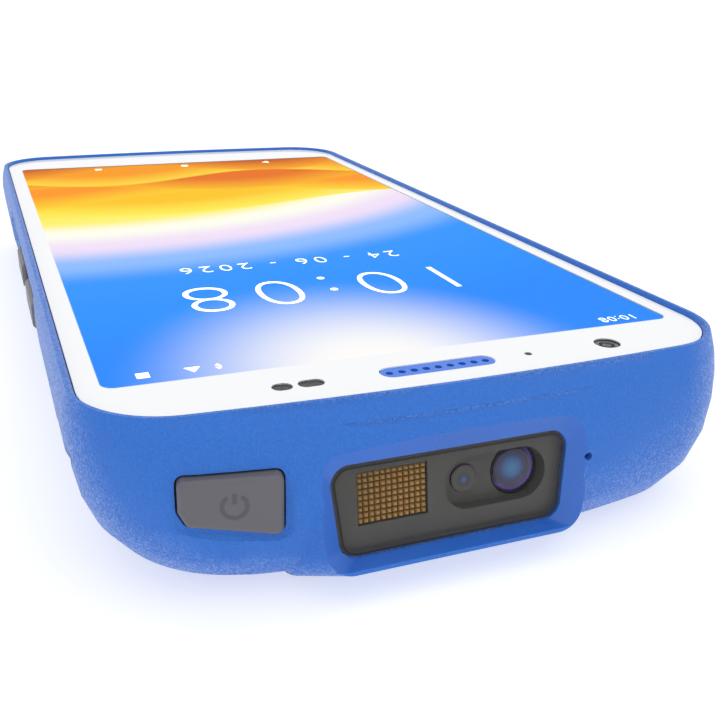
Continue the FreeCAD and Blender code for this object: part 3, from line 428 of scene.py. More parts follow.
def cast_metal(name, colour, roughness, grain, depth, metallic=1.0):
    """Metal with a fine surface grain and slight variation of gloss."""
    tree, shader, place = start_finish(name, colour, roughness, metallic)
    fine = add_node(tree, "ShaderNodeTexNoise", {"Vector": place, "Scale": per_mm(grain), "Detail": 4.0})
    bump = add_node(tree, "ShaderNodeBump", {"Height": fine, "Distance": depth * MM})
    gloss = add_node(tree, "ShaderNodeMapRange", {
        "Value": fine, "From Min": 0.3, "From Max": 0.7,
        "To Min": roughness * 0.8, "To Max": roughness * 1.2})
    set_inputs(tree, shader, {"Roughness": gloss, "Normal": bump})
    return bpy.data.materials[name]


window_tint = tinted_window()
barrel_r = size_mm("imager_barrel").x / 2
aimer_r = size_mm("aimer_lens").x / 2
COAT_ROUGHNESS = 0.03
REFLECTION_OFF_AXIS = Vector((-0.6, 0, 0.5))
OUT_OF_END = (1, 0, 1)
# Painted reflection: the rings in the base colour stand for the blue and violet that the coating reflects; the
# aimer's rings are painted the same way.
imager_painted_reflection = ringed_finish(
    "coated_imager_lens_painted_reflection", "#10121C", centre_mm("imager_lens") + REFLECTION_OFF_AXIS, barrel_r, OUT_OF_END,
    ((0.0, "#2F82B4"), (0.34, "#22609E"), (0.44, "#1C3A78"), (0.6, "#1B2150"), (0.76, "#221A40"),
     (0.86, "#7A5CC0"), (0.94, "#3A2C66"), (1.0, "#0E0E12")), COAT_ROUGHNESS, Coat_Weight=0.4)
aimer_painted_reflection = ringed_finish(
    "coated_aimer_lens_painted_reflection", "#10121C", centre_mm("aimer_lens"), aimer_r, OUT_OF_END,
    ((0.0, "#3A6FB8"), (0.25, "#24406E"), (0.4, "#2E2C2C"), (0.75, "#4A4744"), (1.0, "#2B2A29")),
    COAT_ROUGHNESS, Coat_Weight=0.4)
lens_brass = cast_metal("brass_toned_lens_plastic", "#F6CF8E", 0.35, 0.3, 0.004, 0.25)
engine_metal = cast_metal("cast_zinc_engine", "#8C8E92", 0.4, 0.4, 0.01)
frame_metal = cast_metal("cast_magnesium_frame", "#A3A5A8", 0.45, 0.5, 0.01)
can_steel = cast_metal("tinned_steel_can", "#B9BABC", 0.3, 0.3, 0.004)
gold_contact = cast_metal("gold_plated_contact", "#D9B45C", 0.25, 0.3, 0.002)
mesh_steel = cast_metal("stainless_mesh", "#6E7075", 0.35, 0.2, 0.002)
screw_steel = cast_metal("black_oxide_screw", "#4A4B4F", 0.35, 0.3, 0.004)
cell_pouch = cast_metal("aluminium_laminate_pouch", "#BFC1C4", 0.3, 3.0, 0.05)
board_green = satin_plastic("green_solder_mask", "#1F5A3A", 0.6, 0.01, 0.3)
print("imager radius, mm:", round(barrel_r, 2), "aimer radius, mm:", round(aimer_r, 2))

# %% [markdown]
# Every solid now takes the finish that its material slot names. The lenses and the engine's face
# share slots with other pieces but need their own look, so those few are named one by one.

# %% Dress the solids
slot_finish = {
    "housing_blue": housing_blue, "bezel_blue": grille_blue, "cover_glass": cover_glass,
    "screen": screen, "key_grey": key_grey, "window_tint": window_tint, "lens_glass": imager_painted_reflection,
    "lens_brass": lens_brass, "dark_plastic": dark_plastic, "engine_metal": engine_metal,
    "frame_metal": frame_metal, "board_green": board_green, "can_steel": can_steel,
    "gasket_rubber": gasket_rubber, "gold_contact": gold_contact, "cell_pouch": cell_pouch,
    "battery_plastic": battery_plastic, "mesh_steel": mesh_steel, "screw_steel": screw_steel}
own_finish = {"aimer_lens": aimer_painted_reflection, "engine_face": engine_dark, "front_bezel": bezel_blue,
              "imager_barrel": gasket_rubber}
slot_of = {part["node"]: part["material_slot"] for part in frame["record"]["subparts"]}
for name, solid in nodes.items():
    finish = own_finish.get(name, slot_finish[slot_of[name]])
    solid.data.materials.clear()
    solid.data.materials.append(finish)
print("dressed:", len(nodes), "solids")

# %% [markdown]
# New pieces are all placed the same way: the mesh is built where it belongs, the object stays at
# the origin, and it rides on the body that carries it. Three more helpers end a mesh made by hand,
# apply an object's modifiers, and grow a mesh from a geometry tree.

# %% Settle a piece


def settle(name, mesh, material, body, smooth=False):
    """Makes a finished piece of a mesh and lets it ride on its body."""
    made = bpy.data.objects.new(name, mesh)
    scene.collection.objects.link(made)
    mesh.materials.clear()
    mesh.materials.append(material)
    for face in mesh.polygons:
        face.material_index = 0
        face.use_smooth = smooth
    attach(made, body)
    print("piece", name, len(mesh.polygons), "faces on", body)
    return made


def mesh_from(bm, name):
    """Plain mesh of a finished bmesh, which is then freed."""
    mesh = bpy.data.meshes.new(name)
    bm.to_mesh(mesh)
    bm.free()
    return mesh


def thickened(bm, faces, rise):
    """Gives thin faces a body by pushing a copy of them along rise."""
    raised = bmesh.ops.extrude_face_region(bm, geom=faces)
    lifted = [v for v in raised["geom"] if isinstance(v, bmesh.types.BMVert)]
    bmesh.ops.translate(bm, verts=lifted, vec=rise)


def applied(carrier, name):
    """Mesh of an object with its modifiers applied. The object is removed."""
    depsgraph = bpy.context.evaluated_depsgraph_get()
    mesh = bpy.data.meshes.new_from_object(carrier.evaluated_get(depsgraph), depsgraph=depsgraph)
    mesh.name = name
    bpy.data.objects.remove(carrier)
    return mesh


def grown_mesh(name, tree, sizes, base=None):
    """Runs a geometry tree on a base mesh with these sizes and returns the plain result."""
    carrier = bpy.data.objects.new(name + "_carrier", base or bpy.data.meshes.new(name + "_base"))
    scene.collection.objects.link(carrier)
    modifier = carrier.modifiers.new(name, "NODES")
    modifier.node_group = tree
    for item in tree.interface.items_tree:
        if item.in_out == "INPUT" and item.name in sizes:
            modifier[item.identifier] = sizes[item.name]
    return applied(carrier, name)


def new_tree(name, sizes):
    """Geometry tree with a geometry input and output and one named input for each size."""
    tree = bpy.data.node_groups.new(name, "GeometryNodeTree")
    tree.interface.new_socket("Geometry", in_out="INPUT", socket_type="NodeSocketGeometry")
    tree.interface.new_socket("Geometry", in_out="OUTPUT", socket_type="NodeSocketGeometry")
    for label, value in sizes.items():
        kind = "NodeSocketInt" if isinstance(value, int) else "NodeSocketFloat"
        tree.interface.new_socket(label, in_out="INPUT", socket_type=kind).default_value = value
    start = add_node(tree, "NodeGroupInput")
    return tree, start.outputs


def close_tree(tree, geometry, material):
    """Ends a tree: instances become plain mesh, and the mesh takes its material."""
    plain = add_node(tree, "GeometryNodeRealizeInstances", {"Geometry": geometry})
    dressed = add_node(tree, "GeometryNodeSetMaterial", {"Geometry": plain, "Material": material})
    add_node(tree, "NodeGroupOutput", {"Geometry": dressed})


# %% [markdown]
# The scan window lies at the bottom of a slanted recess in the near end. Its walls are polished and
# meet in crisp lines, unlike the grained housing round them, so the script has to find them in the
# housing's mesh. A face belongs to them when it lies between the window and the outside, within the
# flare that was cut, and looks towards the middle. The test works in the window's own axes, across,
# up and out of it, because the flare is easy to write down there.

# %% Walls of the scan window's recess
FLARE_RISE = 2.4
FLARE_SIDE, FLARE_TOP, FLARE_BOTTOM = 3.4, 6.3, 1.1
OPENING_TOP, OPENING_BOTTOM, OPENING_H = 25.7, 23.7, 9.3
FLARE_HALF_W, FLARE_HALF_H = 14, 6
FLARE_SLACK = 0.3
TURNED_IN = 0.15
CRISP_ABOVE = math.radians(6)
WINDOW_LEAN = math.radians(9.0)
out_of_end = Matrix.Rotation(math.radians(90) - WINDOW_LEAN, 4, "X")
outwards = out_of_end @ Vector((0, 0, 1))


def front_plane(node):
    """Middle of a solid's box, moved along the window's axis to the solid's front, in metres."""
    middle = centre_mm(node) * MM
    return middle + outwards * max((v.co - middle).dot(outwards) for v in nodes[node].data.vertices)


into_window = out_of_end.inverted() @ Matrix.Translation(-front_plane("exit_window"))


def in_recess(place, facing):
    """True for a face with this middle and normal on the slanted walls that lead to the window."""
    u, v, w = (into_window @ place) / MM
    normal = into_window.to_3x3() @ facing
    share = w / FLARE_RISE
    half = (OPENING_TOP + OPENING_BOTTOM) / 4 + v * (OPENING_TOP - OPENING_BOTTOM) / (2 * OPENING_H)
    past = max(abs(u) - half - FLARE_SIDE * share, v - OPENING_H / 2 - FLARE_TOP * share,
               -v - OPENING_H / 2 - FLARE_BOTTOM * share)
    looks_in = normal.x * u / FLARE_HALF_W + normal.y * v / FLARE_HALF_H < -TURNED_IN
    return -0.02 < w < FLARE_RISE and past < FLARE_SLACK and looks_in


def keep_recess_crisp(mesh):
    """Marks every edge of the recess's walls that turns by more than a few degrees as sharp."""
    bm = bmesh.new()
    bm.from_mesh(mesh)
    for face in bm.faces:
        if in_recess(face.calc_center_median(), face.normal):
            for edge in face.edges:
                if edge.calc_face_angle(0.0) > CRISP_ABOVE:
                    edge.smooth = False
    bm.to_mesh(mesh)
    bm.free()


def polish_and_shade_recess(housing):
    """Gives the recess's walls their own finish: polished, and a darker blue, partly painted shade."""
    housing.data.materials.append(recess_blue_painted_shade)
    for face in housing.data.polygons:
        if in_recess(face.center, face.normal):
            face.material_index = 1


print("scan window's axis:", [round(v, 3) for v in outwards])

# %% [markdown]
# The solids come with flat facets and knife edges, which no moulding has. A refined copy of each
# piece that shows is welded, shaded smooth wherever its faces meet at a low angle, and rounded by a
# tenth of a millimetre or so at its hard edges. Weighted normals keep the broad faces flat. The
# original stays in the file for motion and only stops being shown.

# %% Smooth shading and rounded edges
SMOOTH_BELOW = math.radians(32)
behaviour = frame["record"]["behaviour"]
body_of_node = {node: body for body, held in behaviour["bodies"].items() for node in held}


def welded(node):
    """Copy of a solid's mesh with its loose triangles joined and flat faces made whole."""
    bm = bmesh.new()
    bm.from_mesh(nodes[node].data)
    bmesh.ops.remove_doubles(bm, verts=bm.verts, dist=0.002 * MM)
    bmesh.ops.dissolve_limit(bm, angle_limit=math.radians(0.2), verts=bm.verts, edges=bm.edges)
    return mesh_from(bm, node + "_refined")


def rounded_mesh(mesh, edge):
    """Rounds hard edges by edge mm and shades the rest smooth, through applied modifiers."""
    for face in mesh.polygons:
        face.use_smooth = True
    mesh.set_sharp_from_angle(angle=SMOOTH_BELOW)
    if mesh.name.startswith("rear_housing"):
        keep_recess_crisp(mesh)
    carrier = bpy.data.objects.new(mesh.name + "_carrier", mesh)
    scene.collection.objects.link(carrier)
    if edge:
        rounding = carrier.modifiers.new("rounded_edges", "BEVEL")
        rounding.width = edge * MM
        rounding.segments = 3
        rounding.limit_method = "ANGLE"
        rounding.angle_limit = SMOOTH_BELOW
    weighted = carrier.modifiers.new("flat_faces_stay_flat", "WEIGHTED_NORMAL")
    weighted.keep_sharp = True
    return applied(carrier, mesh.name)


def refine(node, edge, mesh=None):
    """Shows a refined copy in place of a solid."""
    finish = own_finish.get(node, slot_finish[slot_of[node]])
    made = settle(node + "_refined", rounded_mesh(mesh or welded(node), edge), finish,
                  body_of_node[node], smooth=True)
    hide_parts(node)
    return made


# %% [markdown]
# Most pieces only need their edges rounded, each by its own size. Three get a little more. The
# housing's recess is polished, in a darker blue that is partly painted shade. The imager's barrel is
# set back by a millimetre, which makes room for the domed lens that is turned further on. The power
# button's corners are rounded, as its rubbery moulding has them.

# %% Refined pieces
SUNK = 1.0
BARREL_FRONT = 0.3
BARREL_EDGE = 0.05
BUTTON_CORNER_R = 0.7
BUTTON_EDGE = 0.2
HARD_ABOVE = math.radians(20)
SHORTEST_CORNER = 0.3


def sunk(node, depth):
    """Copy of a solid with its front end set back by depth mm along the window's axis."""
    mesh = welded(node)
    reach = max(v.co.dot(outwards) for v in mesh.vertices)
    for point in mesh.vertices:
        if reach - point.co.dot(outwards) < BARREL_FRONT * MM:
            point.co -= outwards * depth * MM
    return mesh


def softer_corners(node, along, radius):
    """Copy of a solid whose hard corners that run along a direction are rounded."""
    mesh = welded(node)
    bm = bmesh.new()
    bm.from_mesh(mesh)
    upright = [edge for edge in bm.edges if edge.calc_face_angle(0.0) > HARD_ABOVE
               and edge.calc_length() > SHORTEST_CORNER * MM
               and abs((edge.verts[1].co - edge.verts[0].co).normalized().dot(along)) > 0.98]
    bmesh.ops.bevel(bm, geom=upright, offset=radius * MM, segments=4, profile=0.5, affect="EDGES",
                    clamp_overlap=True)
    bm.to_mesh(mesh)
    bm.free()
    print("corners rounded on", node + ":", len(upright))
    return mesh


press = next(joint for joint in frame["joints"] if joint["name"] == "power_button_press")
inwards = Vector(press["axis"])
polish_and_shade_recess(refine("rear_housing", 0.0))
refine("imager_barrel", BARREL_EDGE, sunk("imager_barrel", SUNK))
refine("power_button", BUTTON_EDGE, softer_corners("power_button", inwards, BUTTON_CORNER_R))
rounding_mm = {"right_scan_key": 0.25, "left_scan_key": 0.25, "volume_rocker": 0.25,
               "push_to_talk_key": 0.25, "right_key_frame": 0.12, "left_key_frame": 0.12,
               "battery_case": 0.2, "right_battery_latch": 0.12, "left_battery_latch": 0.12,
               "engine_face": 0.06, "exit_window": 0.06, "rear_camera_window": 0.08}
for name, edge in rounding_mm.items():
    refine(name, edge)

# %% [markdown]
# A modern screen is bonded to its cover glass, so the picture seems to lie right at the surface.
# The refined glass is therefore a thin pane, and the refined panel and the small modules beside the
# receiver reach up to it. A pane as thick as the real one, without the glue's refraction, would show
# a dark line along the far edges. The rim's foot is sunk a little so that no light passes the joint.

# %% Bonded glass and screen
PANE = 0.12
PANE_EDGE = 0.05
INK_GAP = 0.06
glass_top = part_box("cover_glass")[1].z / MM
glass_back = glass_top - PANE
panel_front = glass_back - INK_GAP


def move_face(mesh, old, new):
    """Moves every point at the height old to the height new, both in mm."""
    for point in mesh.vertices:
        if abs(point.co.z / MM - old) < 0.02:
            point.co.z = new * MM


pane = welded("cover_glass")
move_face(pane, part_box("cover_glass")[0].z / MM, glass_back)
refine("cover_glass", PANE_EDGE, pane)
bonded_panel = welded("display_panel")
move_face(bonded_panel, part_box("display_panel")[1].z / MM, panel_front)
refine("display_panel", 0.0, bonded_panel)
for name in ("sensor_module", "status_light_pipe"):
    module = welded(name)
    move_face(module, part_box(name)[1].z / MM, panel_front)
    refine(name, 0.0, module)
FOOT = 0.15
FOOT_SPREAD = 1.0005
rim = welded("front_bezel")
joint_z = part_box("front_bezel")[0].z / MM
move_face(rim, joint_z, joint_z - FOOT)
for point in rim.vertices:
    if point.co.z / MM < joint_z - FOOT + 0.02:
        point.co.x *= FOOT_SPREAD
        point.co.y *= FOOT_SPREAD
refine("front_bezel", 0.0, rim)

# %% [markdown]
# A thin black bead of sealant shows round the edge of the scan window. It is made from the window's
# own front face: the face is inset, its middle is thrown away and the band left over is thickened.

# %% Bead round the window
BEAD = 0.22
BEAD_RISE = 0.02


def window_bead():
    bm = bmesh.new()
    bm.from_mesh(welded("exit_window"))
    front = [face for face in bm.faces if face.normal.dot(outwards) > 0.995
             and (into_window @ face.calc_center_median()).z > -0.05 * MM]
    others = [face for face in bm.faces if face not in front]
    bmesh.ops.delete(bm, geom=others, context="FACES")
    band = bmesh.ops.inset_region(bm, faces=front, thickness=BEAD * MM, use_even_offset=True,
                                   use_boundary=True)["faces"]
    bmesh.ops.delete(bm, geom=front, context="FACES")
    thickened(bm, band, outwards * BEAD_RISE * MM)
    bmesh.ops.recalc_face_normals(bm, faces=bm.faces)
    return mesh_from(bm, "window_bead")


settle("window_bead", window_bead(), gasket_rubber, "terminal")

# %% [markdown]
# The light spreader is a plate of little pyramids in rows and columns. Geometry Nodes suit it: a
# grid gives the points, a four-sided cone is put on each, and the plate goes underneath. Changing
# the number of columns is then one value. The brass colour is painted darker towards the valleys,
# and a little lighter at the tips: painted shade, where light that goes in seldom comes out again.

# %% Light spreader of small pyramids
LENS_RISE = 0.8
LENS_TIP = 0.04
LENS_CORNER = 0.7071


def spreader_tree(material):
    sizes = {"Width": 0.007, "Height": 0.005, "Depth": 0.001, "Columns": 12, "Rows": 9}
    tree, size = new_tree("pyramid_spreader", sizes)
    pitch_x = add_node(tree, "ShaderNodeMath", {0: size["Width"], 1: size["Columns"]}, operation="DIVIDE")
    pitch_y = add_node(tree, "ShaderNodeMath", {0: size["Height"], 1: size["Rows"]}, operation="DIVIDE")
    inner_x = add_node(tree, "ShaderNodeMath", {0: size["Width"], 1: pitch_x}, operation="SUBTRACT")
    inner_y = add_node(tree, "ShaderNodeMath", {0: size["Height"], 1: pitch_y}, operation="SUBTRACT")
    grid = add_node(tree, "GeometryNodeMeshGrid", {
        "Size X": inner_x, "Size Y": inner_y, "Vertices X": size["Columns"], "Vertices Y": size["Rows"]})
    cone = add_node(tree, "GeometryNodeMeshCone", {
        "Vertices": 4, "Radius Top": LENS_TIP, "Radius Bottom": LENS_CORNER, "Depth": LENS_RISE})
    squared = add_node(tree, "GeometryNodeTransform", {
        "Geometry": cone, "Rotation": (0, 0, math.radians(45))})
    pitch = add_node(tree, "ShaderNodeCombineXYZ", {0: pitch_x, 1: pitch_y, 2: pitch_y})
    lenses = add_node(tree, "GeometryNodeInstanceOnPoints", {
        "Points": grid, "Instance": squared,
        "Scale": pitch})
    plate_size = add_node(tree, "ShaderNodeCombineXYZ", {
        0: size["Width"], 1: size["Height"], 2: size["Depth"]})
    plate = add_node(tree, "GeometryNodeMeshCube", {"Size": plate_size})
    drop = add_node(tree, "ShaderNodeMath", {0: size["Depth"], 1: -0.5}, operation="MULTIPLY")
    lower = add_node(tree, "ShaderNodeCombineXYZ", {0: 0.0, 1: 0.0, 2: drop})
    plate_low = add_node(tree, "GeometryNodeTransform", {"Geometry": plate, "Translation": lower})
    joined = add_node(tree, "GeometryNodeJoinGeometry")
    tree.links.new(lenses.outputs["Instances"], joined.inputs[0])
    tree.links.new(plate_low.outputs["Geometry"], joined.inputs[0])
    close_tree(tree, joined, material)
    return tree


SPREADER_H = 5.2
SPREADER_THICK = 0.5
ROWS = 9
spreader_w = size_mm("illumination_lens_array").x
pyramid_h = LENS_RISE * SPREADER_H / ROWS
lens_foot = front_plane("illumination_lens_array") - outwards * pyramid_h * MM


def brass_with_painted_shade():
    """Brass colour with painted shade, darker towards the valleys between the pyramids."""
    tree, shader, place = start_finish("brass_toned_pyramids_painted_shade", "#E4B264", 0.3, 0.35)
    height = add_node(tree, "ShaderNodeVectorMath", {0: place, 1: outwards},
                      operation="DOT_PRODUCT").outputs["Value"]
    foot = lens_foot.dot(outwards)
    # Painted shade: the colour's value falls with height from the tips to the valleys.
    painted_light = add_node(tree, "ShaderNodeMapRange", {
        "Value": height, "From Min": foot, "From Max": foot + 0.75 * pyramid_h * MM,
        "To Min": 0.12, "To Max": 1.1})
    tone = add_node(tree, "ShaderNodeHueSaturation", {"Color": linear("#E8BC74"), "Value": painted_light})
    set_inputs(tree, shader, {"Base Color": tone})
    return bpy.data.materials["brass_toned_pyramids_painted_shade"]


brass_pyramids = brass_with_painted_shade()
spreader_mesh = grown_mesh("light_spreader", spreader_tree(brass_pyramids), {
    "Width": spreader_w * MM, "Height": SPREADER_H * MM, "Depth": SPREADER_THICK * MM, "Rows": ROWS})
spreader_mesh.transform(Matrix.Translation(lens_foot) @ out_of_end)
light_spreader = settle("light_spreader", spreader_mesh, brass_pyramids, "terminal")
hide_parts("illumination_lens_array")

# %% [markdown]
# Numbers and marks on the lit screen are thin shapes between the screen and the glass. The clock
# reads from the far end, so it is upside down to the camera. Text is made with the plain built-in
# font, thinned by pulling its outline in, and turned into a mesh before it is placed.

# %% Numbers on the screen
ink_z = (glass_back + panel_front) / 2
INK_THICK = 0.02
start_finish("lit_white_marks", "#FFFFFF", 0.5, Emission_Color=linear("#FFFFFF"), Emission_Strength=1.0)
lit_white = bpy.data.materials["lit_white_marks"]
DIGIT_SHARE = 0.7
UPSIDE = Matrix.Rotation(math.pi, 4, "Z")


def number_piece(name, words, height, thin, x, y, spacing=1.0):
    """Number on the screen, centred at x, y in mm, read from the far end."""
    text = bpy.data.curves.new(name, "FONT")
    text.body = words
    text.size = height * MM / DIGIT_SHARE
    text.offset = -thin * MM
    text.space_character = spacing
    text.extrude = INK_THICK * MM / 2
    text.align_x = "CENTER"
    text.align_y = "CENTER"
    text.resolution_u = 6
    carrier = bpy.data.objects.new(name + "_carrier", text)
    scene.collection.objects.link(carrier)
    mesh = applied(carrier, name)
    mesh.transform(Matrix.Translation(Vector((x, y, ink_z)) * MM) @ UPSIDE)
    return settle(name, mesh, lit_white, "terminal")


number_piece("clock_numbers", "10:08", height=10.2, thin=0.36, x=-0.7, y=-36.0, spacing=1.24)
number_piece("date_numbers", "24 - 06 - 2026", height=2.8, thin=0.07, x=-1.7, y=-23.8, spacing=1.35)
number_piece("status_numbers", "10:08", height=1.5, thin=0.03, x=27.3, y=-58.2, spacing=1.1)

# %% [markdown]
# The small marks are flat outlines given a hair of thickness: a square, a triangle and a pair of
# arrows in one corner, and three plain marks at the far end for back, home and recent.

# %% Marks on the screen
NEAR_ROW = -57.9
FAR_ROW = 53.8


def flat_mark(bm, outline, x, y):
    """Adds a thin plate with this outline, in mm about x, y."""
    low = ink_z - INK_THICK / 2
    corners = [bm.verts.new(Vector((x + px, y + py, low)) * MM) for px, py in outline]
    face = bm.faces.new(corners)
    if face.normal.z > 0:
        face.normal_flip()
    thickened(bm, [face], Vector((0, 0, INK_THICK)) * MM)


def circle_outline(radius, count=24):
    return [(radius * math.cos(2 * math.pi * i / count), radius * math.sin(2 * math.pi * i / count))
            for i in range(count)]


def screen_marks():
    bm = bmesh.new()
    box_mark = [(-0.65, -0.65), (0.65, -0.65), (0.65, 0.65), (-0.65, 0.65)]
    up_mark = [(-0.85, 0.6), (0.85, 0.6), (0.0, -0.75)]
    arrow_up = [(-0.35, 0.18), (0.35, 0.18), (0.0, 0.75)]
    arrow_down = [(-0.35, -0.18), (0.0, -0.75), (0.35, -0.18)]
    back_mark = [(-0.9, 0.0), (0.6, -0.9), (0.6, 0.9)]
    for outline, x in ((box_mark, -28.6), (up_mark, -23.6), (arrow_up, -21.0), (arrow_down, -21.0)):
        flat_mark(bm, outline, x, NEAR_ROW)
    for outline, x in ((back_mark, 18.0), (circle_outline(0.8), 0.0), (box_mark, -18.0)):
        flat_mark(bm, outline, x, FAR_ROW)
    bmesh.ops.recalc_face_normals(bm, faces=bm.faces)
    return mesh_from(bm, "screen_marks")


settle("screen_marks", screen_marks(), lit_white, "terminal")

# %% [markdown]
# The power button carries the usual ring and bar, printed in a darker grey. The print is a hair
# thick and lies on the button's face, so it has to find that face: the foremost flat area that looks
# out of the near end.

# %% Power symbol
RING_OUT = 1.3
RING_IN = 0.93
RING_GAP = math.radians(33)
BAR_HALF = 0.19
BAR_FOOT = 0.3
PRINT = 0.02


def front_face(node, towards, spread=4.0):
    """Middle of the foremost flat area of a solid that faces a direction, in metres."""
    mesh = nodes[node].data
    reach = max(v.co.dot(towards) for v in mesh.vertices)
    middle = Vector((0, 0, 0))
    total = 0.0
    for face in mesh.polygons:
        depth = reach - face.center.dot(towards)
        if face.normal.angle(towards) < math.radians(spread) and depth < 0.05 * MM:
            middle += face.center * face.area
            total += face.area
    return middle / total


def power_symbol():
    bm = bmesh.new()
    steps = 40
    turns = [math.pi / 2 + RING_GAP + (2 * math.pi - 2 * RING_GAP) * i / steps for i in range(steps + 1)]
    outer = [bm.verts.new((RING_OUT * math.cos(t), RING_OUT * math.sin(t), 0)) for t in turns]
    inner = [bm.verts.new((RING_IN * math.cos(t), RING_IN * math.sin(t), 0)) for t in turns]
    for i in range(steps):
        bm.faces.new((outer[i], outer[i + 1], inner[i + 1], inner[i]))
    bar = [(-BAR_HALF, BAR_FOOT), (BAR_HALF, BAR_FOOT), (BAR_HALF, RING_OUT), (-BAR_HALF, RING_OUT)]
    bm.faces.new([bm.verts.new((x, y, 0)) for x, y in bar])
    thickened(bm, bm.faces[:], (0, 0, PRINT))
    bmesh.ops.recalc_face_normals(bm, faces=bm.faces)
    return mesh_from(bm, "power_symbol")


button_face = front_face("power_button", -inwards)
symbol_grey = satin_plastic("printed_dark_grey", "#4E4C52", 0.3, 0.004, 0.5)
symbol = power_symbol()
symbol.transform(Matrix.Translation(button_face - inwards * 0.002 * MM)
                 @ (-inwards).to_track_quat("Z", "Y").to_matrix().to_4x4() @ Matrix.Scale(MM, 4))
settle("power_symbol", symbol, symbol_grey, "power_key")

# %% [markdown]
# Round things are turned, as on a lathe: a profile of radius and height goes once round its axis.
# The imager's dome and the rings of the front camera are made this way.

# %% Turned lenses and rings
DOME_RISE = 0.6
DOME_CLEARANCE = 0.12
LENS_BACK = 0.3


def turned(name, profile, steps=48):
    """Mesh turned about Z from (radius, height) points in mm, from the axis outwards and back."""
    bm = bmesh.new()
    points = [bm.verts.new((r * MM, 0, h * MM)) for r, h in profile]
    edges = [bm.edges.new(pair) for pair in zip(points, points[1:])]
    bmesh.ops.spin(bm, geom=points + edges, cent=(0, 0, 0), axis=(0, 0, 1), angle=2 * math.pi,
                   steps=steps)
    bmesh.ops.remove_doubles(bm, verts=bm.verts, dist=1e-7)
    bmesh.ops.recalc_face_normals(bm, faces=bm.faces)
    return mesh_from(bm, name)


def dome(radius, rise, steps=8):
    """Profile of a lens face: a shallow arc from the axis to the edge, with its back below."""
    arc = [(radius * math.sin(math.pi / 2 * i / steps), rise * math.cos(math.pi / 2 * i / steps))
           for i in range(steps + 1)]
    return arc + [(radius, -LENS_BACK), (0.0, -LENS_BACK)]


lens_face = turned("imager_dome", dome(barrel_r - DOME_CLEARANCE, DOME_RISE))
lens_face.transform(Matrix.Translation(front_plane("imager_barrel") - outwards * SUNK * MM) @ out_of_end)
imager_dome = settle("imager_dome", lens_face, imager_painted_reflection, "terminal", smooth=True)
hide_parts("imager_lens")

camera_finish = ringed_finish(
    "front_camera_rings", "#111214", camera_mid, CAMERA_R, (1, 1, 0),
    ((0.0, "#0B0D2A"), (0.28, "#15194A"), (0.34, "#0A0A0C"), (0.55, "#17181A"), (0.62, "#54565A"),
     (0.7, "#2C2D2F"), (0.76, "#0D0D0E"), (1.0, "#060607")), 0.1)
camera_rings = turned("front_camera_rings", [
    (0.0, 0.0), (0.5, -0.06), (0.52, -0.35), (0.8, -0.35), (0.9, 0.0), (2.4, 0.0), (2.4, -1.5),
    (0.0, -1.5)])
camera_rings.transform(Matrix.Translation(Vector((camera_mid.x, camera_mid.y, panel_front)) * MM))
front_camera = settle("front_camera_rings", camera_rings, camera_finish, "terminal")
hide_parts("front_camera")

# %% [markdown]
# The receiver's strip repeats one small hole nine times. The tree draws the strip's outline, gives
# it thickness and drills the row in one cut, so the number of holes and their pitch are two values.

# %% Receiver strip with round holes


def strip_tree(material):
    sizes = {"Length": 0.0128, "Width": 0.0025, "Thickness": 0.0007, "Holes": 9, "Pitch": 0.00136,
             "Hole radius": 0.0004}
    tree, size = new_tree("receiver_strip", sizes)
    outline = add_node(tree, "GeometryNodeCurvePrimitiveQuadrilateral", {
        "Width": size["Length"], "Height": size["Width"]})
    round_r = add_node(tree, "ShaderNodeMath", {0: size["Width"], 1: 0.499}, operation="MULTIPLY")
    stadium = add_node(tree, "GeometryNodeFilletCurve", {
        "Curve": outline, "Radius": round_r, "Count": 12}, mode="POLY")
    face = add_node(tree, "GeometryNodeFillCurve", {"Curve": stadium}, mode="NGONS")
    solid = add_node(tree, "GeometryNodeExtrudeMesh", {
        "Mesh": face, "Offset Scale": size["Thickness"], "Individual": False})
    flipped = add_node(tree, "GeometryNodeFlipFaces", {"Mesh": face})
    closed = add_node(tree, "GeometryNodeJoinGeometry")
    tree.links.new(solid.outputs["Mesh"], closed.inputs[0])
    tree.links.new(flipped.outputs["Mesh"], closed.inputs[0])
    whole = add_node(tree, "GeometryNodeMergeByDistance", {"Geometry": closed, "Distance": 1e-6})
    span = add_node(tree, "ShaderNodeMath", {0: size["Holes"], 1: -1.0}, operation="ADD")
    run = add_node(tree, "ShaderNodeMath", {0: span, 1: size["Pitch"]}, operation="MULTIPLY")
    start_x = add_node(tree, "ShaderNodeMath", {0: run, 1: -0.5}, operation="MULTIPLY")
    start = add_node(tree, "ShaderNodeCombineXYZ", {0: start_x})
    step = add_node(tree, "ShaderNodeCombineXYZ", {0: size["Pitch"]})
    row = add_node(tree, "GeometryNodeMeshLine", {
        "Count": size["Holes"], "Start Location": start, "Offset": step})
    drill = add_node(tree, "GeometryNodeMeshCylinder", {
        "Vertices": 24, "Radius": size["Hole radius"], "Depth": 0.004})
    drills = add_node(tree, "GeometryNodeInstanceOnPoints", {"Points": row, "Instance": drill})
    plain = add_node(tree, "GeometryNodeRealizeInstances", {"Geometry": drills})
    cut = add_node(tree, "GeometryNodeMeshBoolean", {
        "Mesh 1": whole, "Mesh 2": plain}, operation="DIFFERENCE", solver="EXACT")
    close_tree(tree, cut, material)
    return tree


strip_mid = centre_mm("receiver_grille")
strip_size = size_mm("receiver_grille")
strip_foot = strip_mid - Vector((0, 0, strip_size.z / 2))
strip_mesh = grown_mesh("receiver_strip", strip_tree(grille_blue), {
    "Length": strip_size.x * MM, "Width": strip_size.y * MM, "Thickness": strip_size.z * MM})
strip_mesh.transform(Matrix.Translation(strip_foot * MM))
receiver_strip = settle("receiver_strip", strip_mesh, grille_blue, "terminal")
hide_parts("receiver_grille")

# %% [markdown]
# Behind the slots in the back lies a fine steel mesh that keeps grit out of the loudspeaker. Each
# edge of a grid becomes a round wire.

# %% Loudspeaker mesh


